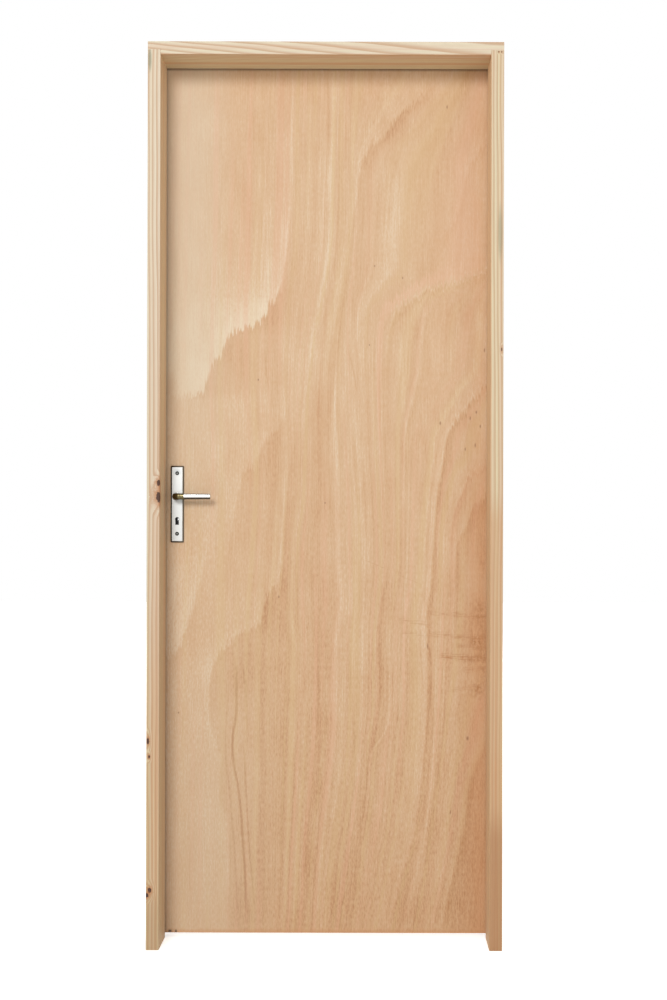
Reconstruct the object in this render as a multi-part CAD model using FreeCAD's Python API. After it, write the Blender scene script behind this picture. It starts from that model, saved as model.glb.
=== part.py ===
import FreeCAD, Part
import math
import os

# Prehung interior door: a flush leaf hung on three butt hinges in a pine frame of two rebated jambs and a
# rebated head, with a mortice lock, a strike plate and a pair of lever handles on long plates.
# Millimetres. +Z is up, +X runs from the lock side to the hinge side, and +Y runs from the stop side,
# where the leaf sits deep in the frame, to the pull side, towards which the leaf opens.
# The origin is on the outer face of the hinge jamb, at floor level, half-way through the frame's depth.

# Leaf
leaf_width = 800.0
leaf_height = 2100.0
leaf_thickness = 35.0
skin_thickness = 3.2
stile_width = 32.0
rail_height = 60.0
lock_block_width = 70.0
lock_block_height = 420.0

# Frame boards and the gaps round the leaf
board_thickness = 30.0
frame_depth = 140.0
rebate_width = 19.5
edge_gap = 6.5
stop_gap = 5.0
floor_gap = 10.0
head_lap = 19.0
arris_radius = 2.0

# Butt hinges
hinge_count = 3
hinge_height = 89.0
hinge_top_margin = 200.0
hinge_bottom_margin = 230.0
flap_thickness = 2.4
flap_reach = 28.0
barrel_standoff = 0.6
knuckle_count = 5
knuckle_gap = 0.3
pin_radius = 2.75
pin_clearance = 0.05
pin_head_radius = 4.4
pin_head_height = 1.6
flap_relief = 0.5
flap_screw_count = 3
flap_screw_margin = 13.0
flap_screw_stagger = 5.0

# Rounded rims of thin metal, as a share of the metal's thickness
rim_round_share = 0.6

# Countersunk screw holes
screw_hole_radius = 2.1
screw_head_radius = 3.9
countersink_depth = 1.8
drill_length = 60.0

# Lock, all heights above the floor
backset = 40.0
spindle_height = 1063.5
key_drop = 58.5
case_depth = 62.0
case_thickness = 14.0
case_wall = 1.2
case_above_spindle = 30.0
case_below_key = 28.0
case_clearance = 0.5
faceplate_width = 22.0
faceplate_height = 168.0
faceplate_thickness = 2.5
faceplate_screw_margin = 9.0
latch_width = 10.6
latch_height = 18.0
latch_length = 26.0
latch_tip = 2.5
latch_bevel = 7.0
latch_stem_height = 6.0
latch_play = 1.0
bolt_width = 10.0
bolt_height = 24.0
bolt_length = 34.0
slide_clearance = 0.3
follower_radius = 9.0
follower_boss_radius = 7.0
follower_arm_length = 16.0
follower_arm_width = 5.0
spindle_side = 8.0
spindle_clearance = 0.05
leaf_bore_radius = 10.0

# Strike plate and the pockets behind it
strike_height = 150.0
strike_thickness = 2.0
strike_front_margin = 4.0
strike_lip = 2.5
strike_pocket_margin = 2.5
strike_pocket_depth = 7.5
strike_screw_margin = 9.0

# Handle plates and levers
plate_width = 32.0
plate_thickness = 5.0
plate_above_spindle = 74.5
plate_below_spindle = 110.5
plate_corner_radius = 3.0
plate_bevel = 2.6
plate_screw_above = 56.5
plate_screw_below = 89.5
key_round_radius = 4.3
key_slot_width = 5.8
key_length = 17.0
neck_radius = 9.2
neck_clearance = 0.05
neck_straight = 20.0
neck_leaf_gap = 0.8
elbow_radius = 11.0
elbow_steps = 6
grip_length = 84.0
grip_half_height = 7.4
grip_half_depth = 4.8
grip_tip_share = 0.9
grip_tip_round = 1.6
socket_depth = 20.0

# How far the levers turn, in degrees, which places the latch's hook
lever_travel = 45.0

# Places worked out from the sizes above
back_y = frame_depth / 2
front_y = -frame_depth / 2
shoulder_y = back_y - leaf_thickness - stop_gap
leaf_front_y = back_y - leaf_thickness
leaf_middle_y = back_y - leaf_thickness / 2
rebated_thickness = board_thickness - rebate_width
leaf_hinge_x = -rebated_thickness - edge_gap
leaf_lock_x = leaf_hinge_x - leaf_width
frame_width = leaf_width + 2 * (edge_gap + rebated_thickness)
leaf_top_z = floor_gap + leaf_height
jamb_top_z = leaf_top_z + edge_gap
frame_height = jamb_top_z + rebated_thickness
head_stop_z = frame_height - board_thickness
lap_z = frame_height - head_lap
spindle_x = leaf_lock_x + backset
key_z = spindle_height - key_drop
case_low_z = key_z - case_below_key
case_high_z = spindle_height + case_above_spindle
case_middle_z = (case_low_z + case_high_z) / 2
lock_rebate_x = -frame_width + rebated_thickness
case_front_x = leaf_lock_x + faceplate_thickness
barrel_radius = edge_gap / 2 + flap_thickness
pin_x = -rebated_thickness - edge_gap / 2
pin_y = back_y + barrel_standoff + barrel_radius
flap_edge_y = back_y - flap_reach

X_AXIS = FreeCAD.Vector(1, 0, 0)
Y_AXIS = FreeCAD.Vector(0, 1, 0)
Z_AXIS = FreeCAD.Vector(0, 0, 1)


def block(x_range, y_range, z_range):
    """A box between the given low and high coordinates."""
    corner = FreeCAD.Vector(min(x_range), min(y_range), min(z_range))
    sizes = [abs(high - low) for low, high in (x_range, y_range, z_range)]
    return Part.makeBox(*sizes, corner)


def rod(radius, start, end):
    """A cylinder between two points."""
    start = FreeCAD.Vector(*start)
    run = FreeCAD.Vector(*end) - start
    return Part.makeCylinder(radius, run.Length, start, run)


def prism(points, run):
    """The polygon through the points, pushed along run."""
    corners = [FreeCAD.Vector(*p) for p in points]
    outline = Part.makePolygon(corners + corners[:1])
    return Part.Face(outline).extrude(FreeCAD.Vector(*run))


def mirror_x(shape, x):
    """The shape mirrored in the plane at x."""
    return shape.mirror(FreeCAD.Vector(x, 0, 0), X_AXIS)


def mirror_y(shape, y):
    """The shape mirrored in the plane at y."""
    return shape.mirror(FreeCAD.Vector(0, y, 0), Y_AXIS)


def round_edges(shape, radius, wanted):
    """Rounds the straight edges whose two ends both satisfy wanted(point)."""
    chosen = [
        edge
        for edge in shape.Edges
        if len(edge.Vertexes) == 2 and all(wanted(v.Point) for v in edge.Vertexes)
    ]
    return shape.makeFillet(radius, chosen)


def near(a, b):
    return abs(a - b) < 0.001


def screw_hole(surface, inward):
    """The cutter of a countersunk hole whose wide end is at surface and which runs along inward."""
    surface = FreeCAD.Vector(*surface)
    inward = FreeCAD.Vector(*inward)
    cone = Part.makeCone(
        screw_head_radius, screw_hole_radius, countersink_depth, surface, inward
    )
    shank = Part.makeCylinder(screw_hole_radius, drill_length, surface, inward)
    return cone.fuse(shank)


def key_hole(y_range):
    """The cutter of the keyhole: a round top and a straight slot under it."""
    round_z = key_z + key_length / 2 - key_round_radius
    top = rod(
        key_round_radius, (spindle_x, y_range[0], round_z), (spindle_x, y_range[1], round_z)
    )
    slot_low_z = key_z - key_length / 2 + key_slot_width / 2
    slot = block(
        (spindle_x - key_slot_width / 2, spindle_x + key_slot_width / 2),
        y_range,
        (slot_low_z, round_z),
    )
    foot = rod(
        key_slot_width / 2, (spindle_x, y_range[0], slot_low_z), (spindle_x, y_range[1], slot_low_z)
    )
    return top.fuse([slot, foot]).removeSplitter()


def square_bar(side, x, z, y_range):
    """A square bar along Y, centred on x and z."""
    return block((x - side / 2, x + side / 2), y_range, (z - side / 2, z + side / 2))


# Frame


def jamb_board():
    """The hinge-side jamb before its hinge recesses: a rebated board, stepped where the head laps it."""
    board = prism(
        [
            (0, front_y, 0),
            (-board_thickness, front_y, 0),
            (-board_thickness, shoulder_y, 0),
            (-rebated_thickness, shoulder_y, 0),
            (-rebated_thickness, back_y, 0),
            (0, back_y, 0),
        ],
        (0, 0, jamb_top_z),
    )
    board = board.cut(block((-board_thickness, 0), (front_y, shoulder_y), (lap_z, jamb_top_z)))
    at_front_arris = lambda p: near(p.y, front_y) and near(p.x, -board_thickness)
    return round_edges(board, arris_radius, at_front_arris)


def hinge_jamb():
    jamb = jamb_board()
    for low_z in hinge_low_heights():
        jamb = jamb.cut(
            block(
                (-rebated_thickness, -rebated_thickness + flap_thickness),
                (flap_edge_y, back_y),
                (low_z, low_z + hinge_height),
            )
        )
    return jamb


def strike_ranges():
    """Where the strike plate lies on the rebate of the lock jamb: its Y and Z ranges."""
    y_range = (leaf_middle_y - faceplate_width / 2 + strike_front_margin, back_y)
    z_range = (case_middle_z - strike_height / 2, case_middle_z + strike_height / 2)
    return y_range, z_range


def strike_holes(x_range):
    """The cutters of the latch's and the bolt's holes, through the given X range."""
    holes = []
    for middle_z, width, height in (
        (spindle_height, latch_width, latch_height),
        (key_z, bolt_width, bolt_height),
    ):
        half_width = width / 2 + strike_pocket_margin
        half_height = height / 2 + strike_pocket_margin
        holes.append(
            block(
                x_range,
                (leaf_middle_y - half_width, leaf_middle_y + half_width),
                (middle_z - half_height, middle_z + half_height),
            )
        )
    return holes


def lock_jamb():
    jamb = mirror_x(jamb_board(), -frame_width / 2)
    y_range, z_range = strike_ranges()
    seat = block((lock_rebate_x - strike_thickness, lock_rebate_x), y_range, z_range)
    pockets = strike_holes((lock_rebate_x - strike_pocket_depth, lock_rebate_x))
    return jamb.cut([seat] + pockets)


def head_board():
    """The head: rebated like the jambs, with the stop cut back at both ends to lap over their tops."""
    board = prism(
        [
            (-frame_width, front_y, frame_height),
            (-frame_width, front_y, head_stop_z),
            (-frame_width, shoulder_y, head_stop_z),
            (-frame_width, shoulder_y, jamb_top_z),
            (-frame_width, back_y, jamb_top_z),
            (-frame_width, back_y, frame_height),
        ],
        (frame_width, 0, 0),
    )
    notch = block((-board_thickness, 0), (front_y, shoulder_y), (head_stop_z, lap_z))
    board = board.cut([notch, mirror_x(notch, -frame_width / 2)])
    at_front_arris = lambda p: near(p.y, front_y) and near(p.z, head_stop_z)
    return round_edges(board, arris_radius, at_front_arris)


def strike_plate():
    """The plate on the lock jamb, with its lip bent round the jamb's back edge."""
    y_range, z_range = strike_ranges()
    plate = block((lock_rebate_x - strike_thickness, lock_rebate_x), y_range, z_range)
    lip_low_z = spindle_height - latch_height
    lip = block(
        (lock_rebate_x - strike_thickness, lock_rebate_x),
        (back_y, back_y + strike_lip),
        (lip_low_z, lip_low_z + 2 * latch_height),
    )
    at_lip_end = lambda p: near(p.y, back_y + strike_lip) and near(p.x, lock_rebate_x)
    lip = round_edges(lip, strike_thickness * rim_round_share, at_lip_end)
    plate = plate.fuse(lip).removeSplitter()
    cutters = strike_holes((lock_rebate_x - strike_thickness, lock_rebate_x))
    for z in (z_range[0] + strike_screw_margin, z_range[1] - strike_screw_margin):
        cutters.append(screw_hole((lock_rebate_x, leaf_middle_y, z), (-1, 0, 0)))
    return plate.cut(cutters)


# Hinges


def hinge_low_heights():
    """The lower end of each hinge, from the lowest hinge up, evenly spread between the two margins."""
    lowest = floor_gap + hinge_bottom_margin
    highest = leaf_top_z - hinge_top_margin - hinge_height
    step = (highest - lowest) / (hinge_count - 1)
    return [lowest + n * step for n in range(hinge_count)]


def knuckle_ranges(low_z):
    """The Z range of each knuckle of a hinge, from its lower end up."""
    pitch = hinge_height / knuckle_count
    ranges = []
    for n in range(knuckle_count):
        low = low_z + n * pitch + (knuckle_gap / 2 if n else 0)
        high = low_z + (n + 1) * pitch - (knuckle_gap / 2 if n < knuckle_count - 1 else 0)
        ranges.append((low, high))
    return ranges


def frame_flap(low_z):
    """The flap on the jamb, with the first, third and fifth knuckles."""
    return flap(low_z, 0)


def door_flap(low_z):
    """The flap on the leaf, with the knuckles between, made as the mirror image of a frame flap."""
    return mirror_x(flap(low_z, 1), pin_x)


def flap(low_z, first_knuckle):
    """A flap let into the hinge jamb, carrying every second knuckle from first_knuckle up."""
    high_z = low_z + hinge_height
    face_x = -rebated_thickness
    plate = block((face_x, face_x + flap_thickness), (flap_edge_y, pin_y), (low_z, high_z))
    knuckles = knuckle_ranges(low_z)
    own = knuckles[first_knuckle::2]
    other = knuckles[1 - first_knuckle :: 2]
    rolls = [rod(barrel_radius, (pin_x, pin_y, low), (pin_x, pin_y, high)) for low, high in own]
    body = plate.fuse(rolls).removeSplitter()
    cutters = [
        rod(
            barrel_radius + flap_relief,
            (pin_x, pin_y, low - knuckle_gap),
            (pin_x, pin_y, high + knuckle_gap),
        )
        for low, high in other
    ]
    bore = pin_radius + pin_clearance
    cutters.append(rod(bore, (pin_x, pin_y, low_z), (pin_x, pin_y, high_z)))
    for n in range(flap_screw_count):
        share = n / (flap_screw_count - 1)
        z = low_z + flap_screw_margin + share * (hinge_height - 2 * flap_screw_margin)
        side = 1 if n % 2 else -1
        y = (flap_edge_y + back_y) / 2 + side * flap_screw_stagger
        cutters.append(screw_hole((face_x, y, z), (1, 0, 0)))
    return body.cut(cutters)


def hinge_pin(low_z):
    """The pin with a low button head at each end, bearing on the end knuckles."""
    high_z = low_z + hinge_height
    pin = rod(pin_radius, (pin_x, pin_y, low_z), (pin_x, pin_y, high_z))
    top = rod(pin_head_radius, (pin_x, pin_y, high_z), (pin_x, pin_y, high_z + pin_head_height))
    foot = rod(pin_head_radius, (pin_x, pin_y, low_z - pin_head_height), (pin_x, pin_y, low_z))
    far_ends = (high_z + pin_head_height, low_z - pin_head_height)
    heads = []
    for head in (top, foot):
        rims = [e for e in head.Edges if any(near(e.CenterOfMass.z, z) for z in far_ends)]
        heads.append(head.makeFillet(pin_head_height * rim_round_share, rims))
    return pin.fuse(heads)


# Leaf


def leaf_openings(y_range):
    """The cutters of the holes through the leaf for the spindle and the key."""
    bore = rod(
        leaf_bore_radius,
        (spindle_x, y_range[0], spindle_height),
        (spindle_x, y_range[1], spindle_height),
    )
    return [bore, key_hole(y_range)]


def lock_mortice():
    """The cutter of the recess for the lock case and its faceplate."""
    half = case_thickness / 2 + case_clearance
    pocket = block(
        (leaf_lock_x, case_front_x + case_depth + case_clearance),
        (leaf_middle_y - half, leaf_middle_y + half),
        (case_low_z - case_clearance, case_high_z + case_clearance),
    )
    return pocket.fuse(faceplate_blank())


def faceplate_blank():
    return block(
        (leaf_lock_x, case_front_x),
        (leaf_middle_y - faceplate_width / 2, leaf_middle_y + faceplate_width / 2),
        (case_middle_z - faceplate_height / 2, case_middle_z + faceplate_height / 2),
    )


def skin(outer_y, inner_y):
    """One face panel of the leaf."""
    y_range = (min(outer_y, inner_y), max(outer_y, inner_y))
    sheet = block((leaf_lock_x, leaf_hinge_x), y_range, (floor_gap, leaf_top_z))
    return sheet.cut(leaf_openings(y_range) + flap_seats())


def core_range():
    return (leaf_front_y + skin_thickness, back_y - skin_thickness)


def hinge_stile():
    stile = block(
        (leaf_hinge_x - stile_width, leaf_hinge_x), core_range(), (floor_gap, leaf_top_z)
    )
    return stile.cut(flap_seats())


def flap_seats():
    """The cutters of the hinge recesses in the leaf's hinge edge."""
    return [
        block(
            (leaf_hinge_x - flap_thickness, leaf_hinge_x),
            (flap_edge_y, back_y),
            (low_z, low_z + hinge_height),
        )
        for low_z in hinge_low_heights()
    ]


def lock_stile():
    stile = block(
        (leaf_lock_x, leaf_lock_x + stile_width), core_range(), (floor_gap, leaf_top_z)
    )
    return stile.cut([lock_mortice()] + leaf_openings(core_range()))


def rail(low_z):
    return block(
        (leaf_lock_x + stile_width, leaf_hinge_x - stile_width),
        core_range(),
        (low_z, low_z + rail_height),
    )


def lock_block():
    """The solid block beside the lock stile that takes the lock case."""
    body = block(
        (leaf_lock_x + stile_width, leaf_lock_x + stile_width + lock_block_width),
        core_range(),
        (case_middle_z - lock_block_height / 2, case_middle_z + lock_block_height / 2),
    )
    return body.cut([lock_mortice()] + leaf_openings(core_range()))


# Lock


def lock_faceplate():
    plate = faceplate_blank()
    x_range = (leaf_lock_x, case_front_x)
    cutters = [
        slide_opening(x_range, spindle_height, latch_width, latch_height),
        slide_opening(x_range, key_z, bolt_width, bolt_height),
    ]
    for side in (-1, 1):
        z = case_middle_z + side * (faceplate_height / 2 - faceplate_screw_margin)
        cutters.append(screw_hole((leaf_lock_x, leaf_middle_y, z), (1, 0, 0)))
    return plate.cut(cutters)


def slide_opening(x_range, middle_z, width, height):
    """The cutter of the hole in which the latch or the bolt slides."""
    half_width = width / 2 + slide_clearance
    half_height = height / 2 + slide_clearance
    return block(
        x_range,
        (leaf_middle_y - half_width, leaf_middle_y + half_width),
        (middle_z - half_height, middle_z + half_height),
    )


def lock_case():
    """The sheet-metal case, open towards the faceplate, with holes for the follower and the key."""
    half = case_thickness / 2
    y_range = (leaf_middle_y - half, leaf_middle_y + half)
    shell = block((case_front_x, case_front_x + case_depth), y_range, (case_low_z, case_high_z))
    inside = block(
        (case_front_x, case_front_x + case_depth - case_wall),
        (y_range[0] + case_wall, y_range[1] - case_wall),
        (case_low_z + case_wall, case_high_z - case_wall),
    )
    hub = rod(
        follower_boss_radius + slide_clearance,
        (spindle_x, y_range[0], spindle_height),
        (spindle_x, y_range[1], spindle_height),
    )
    return shell.cut([inside, hub, key_hole(y_range)])


def latch_bolt():
    """The latch, drawn back: a head bevelled on its closing side, a stem, and a hook behind the follower's arm."""
    tip_x = leaf_lock_x
    half = latch_width / 2
    low_z = spindle_height - latch_height / 2
    head = prism(
        [
            (tip_x, leaf_middle_y + half, low_z),
            (tip_x, leaf_middle_y + half - latch_tip, low_z),
            (tip_x + latch_bevel, leaf_middle_y - half, low_z),
            (tip_x + latch_length, leaf_middle_y - half, low_z),
            (tip_x + latch_length, leaf_middle_y + half, low_z),
        ],
        (0, 0, latch_height),
    )
    reach = follower_arm_length * math.sin(math.radians(lever_travel))
    hook_x = spindle_x + reach + follower_arm_width / 2 + latch_play
    stem_low_z = spindle_height + follower_radius + latch_play
    stem_high_z = spindle_height + follower_arm_length + latch_play + latch_stem_height
    rise = block(
        (tip_x + latch_length - latch_stem_height, tip_x + latch_length),
        (leaf_middle_y - half, leaf_middle_y + half),
        (spindle_height, stem_high_z),
    )
    stem = block(
        (tip_x + latch_length - latch_stem_height, hook_x + latch_stem_height),
        (leaf_middle_y - half / 2, leaf_middle_y + half / 2),
        (stem_high_z - latch_stem_height, stem_high_z),
    )
    hook = block(
        (hook_x, hook_x + latch_stem_height),
        (leaf_middle_y - half / 2, leaf_middle_y + half / 2),
        (stem_low_z, stem_high_z),
    )
    return head.fuse([rise, stem, hook]).removeSplitter()


def dead_bolt():
    """The dead bolt, drawn back flush with the faceplate."""
    half = bolt_width / 2
    body = block(
        (leaf_lock_x, leaf_lock_x + bolt_length),
        (leaf_middle_y - half, leaf_middle_y + half),
        (key_z - bolt_height / 2, key_z + bolt_height / 2),
    )
    return body


# Handles


def handle_plate():
    """The plate on the stop side: rounded corners, a bevel all round, and holes for neck, key and screws."""
    low_z = spindle_height - plate_below_spindle
    high_z = spindle_height + plate_above_spindle
    outer_y = leaf_front_y - plate_thickness
    plate = block(
        (spindle_x - plate_width / 2, spindle_x + plate_width / 2),
        (outer_y, leaf_front_y),
        (low_z, high_z),
    )
    upright = [e for e in plate.Edges if near(abs(e.tangentAt(0).y), 1)]
    plate = plate.makeFillet(plate_corner_radius, upright)
    rim = [e for e in plate.Edges if all(near(v.Point.y, outer_y) for v in e.Vertexes)]
    plate = plate.makeChamfer(plate_bevel, rim)
    neck_hole = rod(
        neck_radius + neck_clearance,
        (spindle_x, outer_y, spindle_height),
        (spindle_x, leaf_front_y, spindle_height),
    )
    cutters = [neck_hole, key_hole((outer_y, leaf_front_y))]
    for z in (spindle_height + plate_screw_above, spindle_height - plate_screw_below):
        cutters.append(screw_hole((spindle_x, outer_y, z), (0, 1, 0)))
    return plate.cut(cutters)


def ring(centre, half_height, half_width, turn):
    """An upright ellipse about centre, half_width wide along +X turned by turn about Z."""
    middle = FreeCAD.Vector(*centre)
    across = FreeCAD.Vector(math.cos(turn), math.sin(turn), 0)
    curve = Part.Ellipse(middle, half_height, half_width)
    curve.Axis = Z_AXIS.cross(across)
    curve.XAxis = Z_AXIS
    return Part.Wire(curve.toShape())


def lever():
    """The lever on the stop side: a round neck, an elbow, and an oval grip towards the hinge side."""
    root_y = leaf_front_y - neck_leaf_gap
    elbow_y = leaf_front_y - plate_thickness - neck_straight
    grip_y = elbow_y - elbow_radius
    neck = rod(neck_radius, (spindle_x, root_y, spindle_height), (spindle_x, elbow_y, spindle_height))
    sections = []
    for n in range(elbow_steps + 1):
        share = n / elbow_steps
        turn = math.radians(90 * share)
        centre = (
            spindle_x + elbow_radius * (1 - math.cos(turn)),
            elbow_y - elbow_radius * math.sin(turn),
            spindle_height,
        )
        half_height = neck_radius + share * (grip_half_height - neck_radius)
        half_width = neck_radius + share * (grip_half_depth - neck_radius)
        sections.append(ring(centre, half_height, half_width, turn))
    elbow = Part.makeLoft(sections, True, False)
    side_on = math.radians(90)
    grip_x = spindle_x + elbow_radius
    tip_x = spindle_x + grip_length
    start = ring((grip_x, grip_y, spindle_height), grip_half_height, grip_half_depth, side_on)
    end = ring(
        (tip_x, grip_y, spindle_height),
        grip_half_height * grip_tip_share,
        grip_half_depth * grip_tip_share,
        side_on,
    )
    grip = Part.makeLoft([start, end], True, True)
    tip = [e for e in grip.Edges if near(e.CenterOfMass.x, tip_x)]
    grip = grip.makeFillet(grip_tip_round, tip)
    socket = square_bar(
        spindle_side + 2 * spindle_clearance,
        spindle_x,
        spindle_height,
        (root_y - socket_depth, root_y),
    )
    return neck.fuse([elbow, grip]).removeSplitter().cut(socket)


def spindle():
    """The square bar that joins the two levers through the leaf."""
    reach = socket_depth - spindle_clearance
    return square_bar(
        spindle_side,
        spindle_x,
        spindle_height,
        (leaf_front_y - neck_leaf_gap - reach, back_y + neck_leaf_gap + reach),
    )


def follower():
    """The lock's hub on the spindle, with the arm that draws the latch."""
    inner = case_thickness / 2 - case_wall - slide_clearance
    outer = case_thickness / 2
    drum = rod(
        follower_radius,
        (spindle_x, leaf_middle_y - inner, spindle_height),
        (spindle_x, leaf_middle_y + inner, spindle_height),
    )
    boss = rod(
        follower_boss_radius,
        (spindle_x, leaf_middle_y - outer, spindle_height),
        (spindle_x, leaf_middle_y + outer, spindle_height),
    )
    arm = block(
        (spindle_x - follower_arm_width / 2, spindle_x + follower_arm_width / 2),
        (leaf_middle_y - inner / 2, leaf_middle_y + inner / 2),
        (spindle_height, spindle_height + follower_arm_length),
    )
    hole = square_bar(
        spindle_side + 2 * spindle_clearance,
        spindle_x,
        spindle_height,
        (leaf_middle_y - outer, leaf_middle_y + outer),
    )
    return drum.fuse([boss, arm]).removeSplitter().cut(hole)


def save(name, shape):
    shape.exportStep(os.path.join("parts", name + ".step"))


def main():
    os.makedirs("parts", exist_ok=True)
    save("hinge_jamb", hinge_jamb())
    save("lock_jamb", lock_jamb())
    save("head", head_board())
    save("strike_plate", strike_plate())
    for name, low_z in zip(("lower", "middle", "upper"), hinge_low_heights()):
        save(name + "_hinge_frame_flap", frame_flap(low_z))
        save(name + "_hinge_door_flap", door_flap(low_z))
        save(name + "_hinge_pin", hinge_pin(low_z))
    save("front_skin", skin(leaf_front_y, leaf_front_y + skin_thickness))
    save("back_skin", skin(back_y, back_y - skin_thickness))
    save("hinge_stile", hinge_stile())
    save("lock_stile", lock_stile())
    save("bottom_rail", rail(floor_gap))
    save("top_rail", rail(leaf_top_z - rail_height))
    save("lock_block", lock_block())
    save("lock_faceplate", lock_faceplate())
    save("lock_case", lock_case())
    save("latch_bolt", latch_bolt())
    save("dead_bolt", dead_bolt())
    save("front_handle_plate", handle_plate())
    save("back_handle_plate", mirror_y(handle_plate(), leaf_middle_y))
    save("front_lever", lever())
    save("back_lever", mirror_y(lever(), leaf_middle_y))
    save("spindle", spindle())
    save("lock_follower", follower())


main()
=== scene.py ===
import bmesh
import bpy
import math
from mathutils import Matrix, Vector
from typing import NamedTuple


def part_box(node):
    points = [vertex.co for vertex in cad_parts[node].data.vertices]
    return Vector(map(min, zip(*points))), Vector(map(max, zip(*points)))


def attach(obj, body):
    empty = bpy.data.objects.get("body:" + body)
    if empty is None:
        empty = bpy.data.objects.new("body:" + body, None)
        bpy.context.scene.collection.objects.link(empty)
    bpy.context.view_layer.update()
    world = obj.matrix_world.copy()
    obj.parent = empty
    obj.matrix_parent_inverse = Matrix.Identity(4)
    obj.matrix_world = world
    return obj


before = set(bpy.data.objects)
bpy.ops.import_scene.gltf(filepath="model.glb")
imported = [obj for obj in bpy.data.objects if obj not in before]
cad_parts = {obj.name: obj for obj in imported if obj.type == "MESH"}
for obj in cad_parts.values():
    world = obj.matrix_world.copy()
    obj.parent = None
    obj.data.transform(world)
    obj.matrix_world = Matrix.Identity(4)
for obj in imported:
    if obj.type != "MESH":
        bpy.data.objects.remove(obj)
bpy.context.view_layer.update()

# A prehung interior door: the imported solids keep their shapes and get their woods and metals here, and the
# screws and small marks are added. Sizes are in metres. The leaf's figure is laid out in pixels of the
# photograph, which the functions across and up turn into places on the leaf. A row that goes into graph.step
# holds the values where a change starts and ends, how much it changes and, where that isn't 0, from what. One
# that goes into graph.wash ends with the strength and the colour that is laid over.

# Camera, set square on to the door
CAMERA_PLACE = (-0.3145, -3.22, 0.9967)
CAMERA_LENS_MM = 48.47
CAMERA_SENSOR_MM = 36.0
CAMERA_SHIFT = (-0.0352, 0.0248)
CAMERA_LEAN_DEGREES = 0.14

# Lamps: name, place, size and power in watts
LAMP_TARGET = (-0.42, 0.0, 0.95)
LAMPS = (
    ("key", (-2.2, -8.0, 4.3), 2.8, 362.0),
    ("back", (1.4, 7.5, 4.0), 2.8, 250.0),
    ("fill", (2.2, -3.2, 1.6), 2.0, 14.0),
)

# World and floor
AMBIENT_LEVEL = 0.455
BACKDROP_LEVEL = 1.0
FLOOR_LEVEL = 0.90
FLOOR_REACH = 14.0
FLOOR_MIDDLE = (-0.417, 0.0)
FLOOR_GLOW = 0.62
FLOOR_FAR = (0.8, 3.0)
FLOOR_FAR_GLOW = 0.30
WHITE = (1.0, 1.0, 1.0, 1.0)

# The leaf and its handle plate, from the frame
LEAF_LOW, LEAF_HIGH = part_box("front_skin")
LEAF_SPAN = LEAF_HIGH.x - LEAF_LOW.x
LEAF_MIDDLE_Y = 0.0525
PLATE_LOW, PLATE_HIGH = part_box("front_handle_plate")
PLATE_MIDDLE = (PLATE_LOW + PLATE_HIGH) / 2
PLATE_HALF = (PLATE_HIGH - PLATE_LOW) / 2
PLATE_SCREW_LEVELS = (0.974, 1.120)

# The photograph's pixels on the leaf's front face
LEAF_PIXEL_LEFT = 160.9
LEAF_PIXEL_FLOOR = 936.9
LEAF_PIXELS_PER_METRE = 413.5

# Drawn lines run over LINE_REACH widths of the leaf, from LINE_START before it, and LEAF_REACH metres up it
LEAF_REACH = 2.2
LINE_REACH = 1.4
LINE_START = 0.15
STREAK_FADE = 0.03
STREAK_END = 0.001
EDGE_FADE = 0.012
SMEAR_FADE_PIXELS = 8

# Screws
SCREW_HEAD_RADIUS = 0.0035
SCREW_TOP_RADIUS = 0.93 * SCREW_HEAD_RADIUS
SCREW_SHANK_RADIUS = 0.0019
SCREW_POINT_RADIUS = 0.2 * SCREW_SHANK_RADIUS
SCREW_RIM_DEPTH = 0.0002
SCREW_HEAD_DEPTH = 0.0019
SCREW_LENGTH = 0.020
SHORT_SCREW_LENGTH = 0.009
SCREW_TIP = 0.004
SCREW_SIDES = 28
SCREW_SHARP_DEGREES = 35
SCREW_TURNS = (12, 57, 33, 80, 5, 41)
CROSS_ARM = 0.0019
CROSS_HALF_WIDTH = 0.00048
CROSS_DEPTH = 0.0013
CROSS_TAPER = 0.45

# Where the screws sit in a hinge's flap: height above its foot, and distance from its inner edge
HINGE_LEVELS = ("lower", "middle", "upper")
FLAP_SCREWS = ((0.013, 0.009), (0.0445, 0.019), (0.076, 0.009))
REBATE_FACE_X = -0.0105
LOCK_SCREW_INSET = 0.009


def tone(red, green, blue):
    """A colour as it looks on a screen, 0 to 255, turned into the renderer's own scale."""
    channels = []
    for level in (red, green, blue):
        share = level / 255
        low = share <= 0.04045
        channels.append(share / 12.92 if low else ((share + 0.055) / 1.055) ** 2.4)
    return (*channels, 1.0)


# Painted shade: the black in the keyhole and round the plate screws
SHADE_BLACK = tone(20, 20, 20)


# Node-building helpers


class Field:
    """A number or colour that varies over a surface: one output of a material's nodes."""

    def __init__(self, graph, socket):
        self.graph = graph
        self.socket = socket

    def __add__(self, other):
        return self.graph.math("ADD", self, other)

    def __sub__(self, other):
        return self.graph.math("SUBTRACT", self, other)

    def __rsub__(self, other):
        return self.graph.math("SUBTRACT", other, self)

    def __mul__(self, other):
        return self.graph.math("MULTIPLY", self, other)


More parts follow.
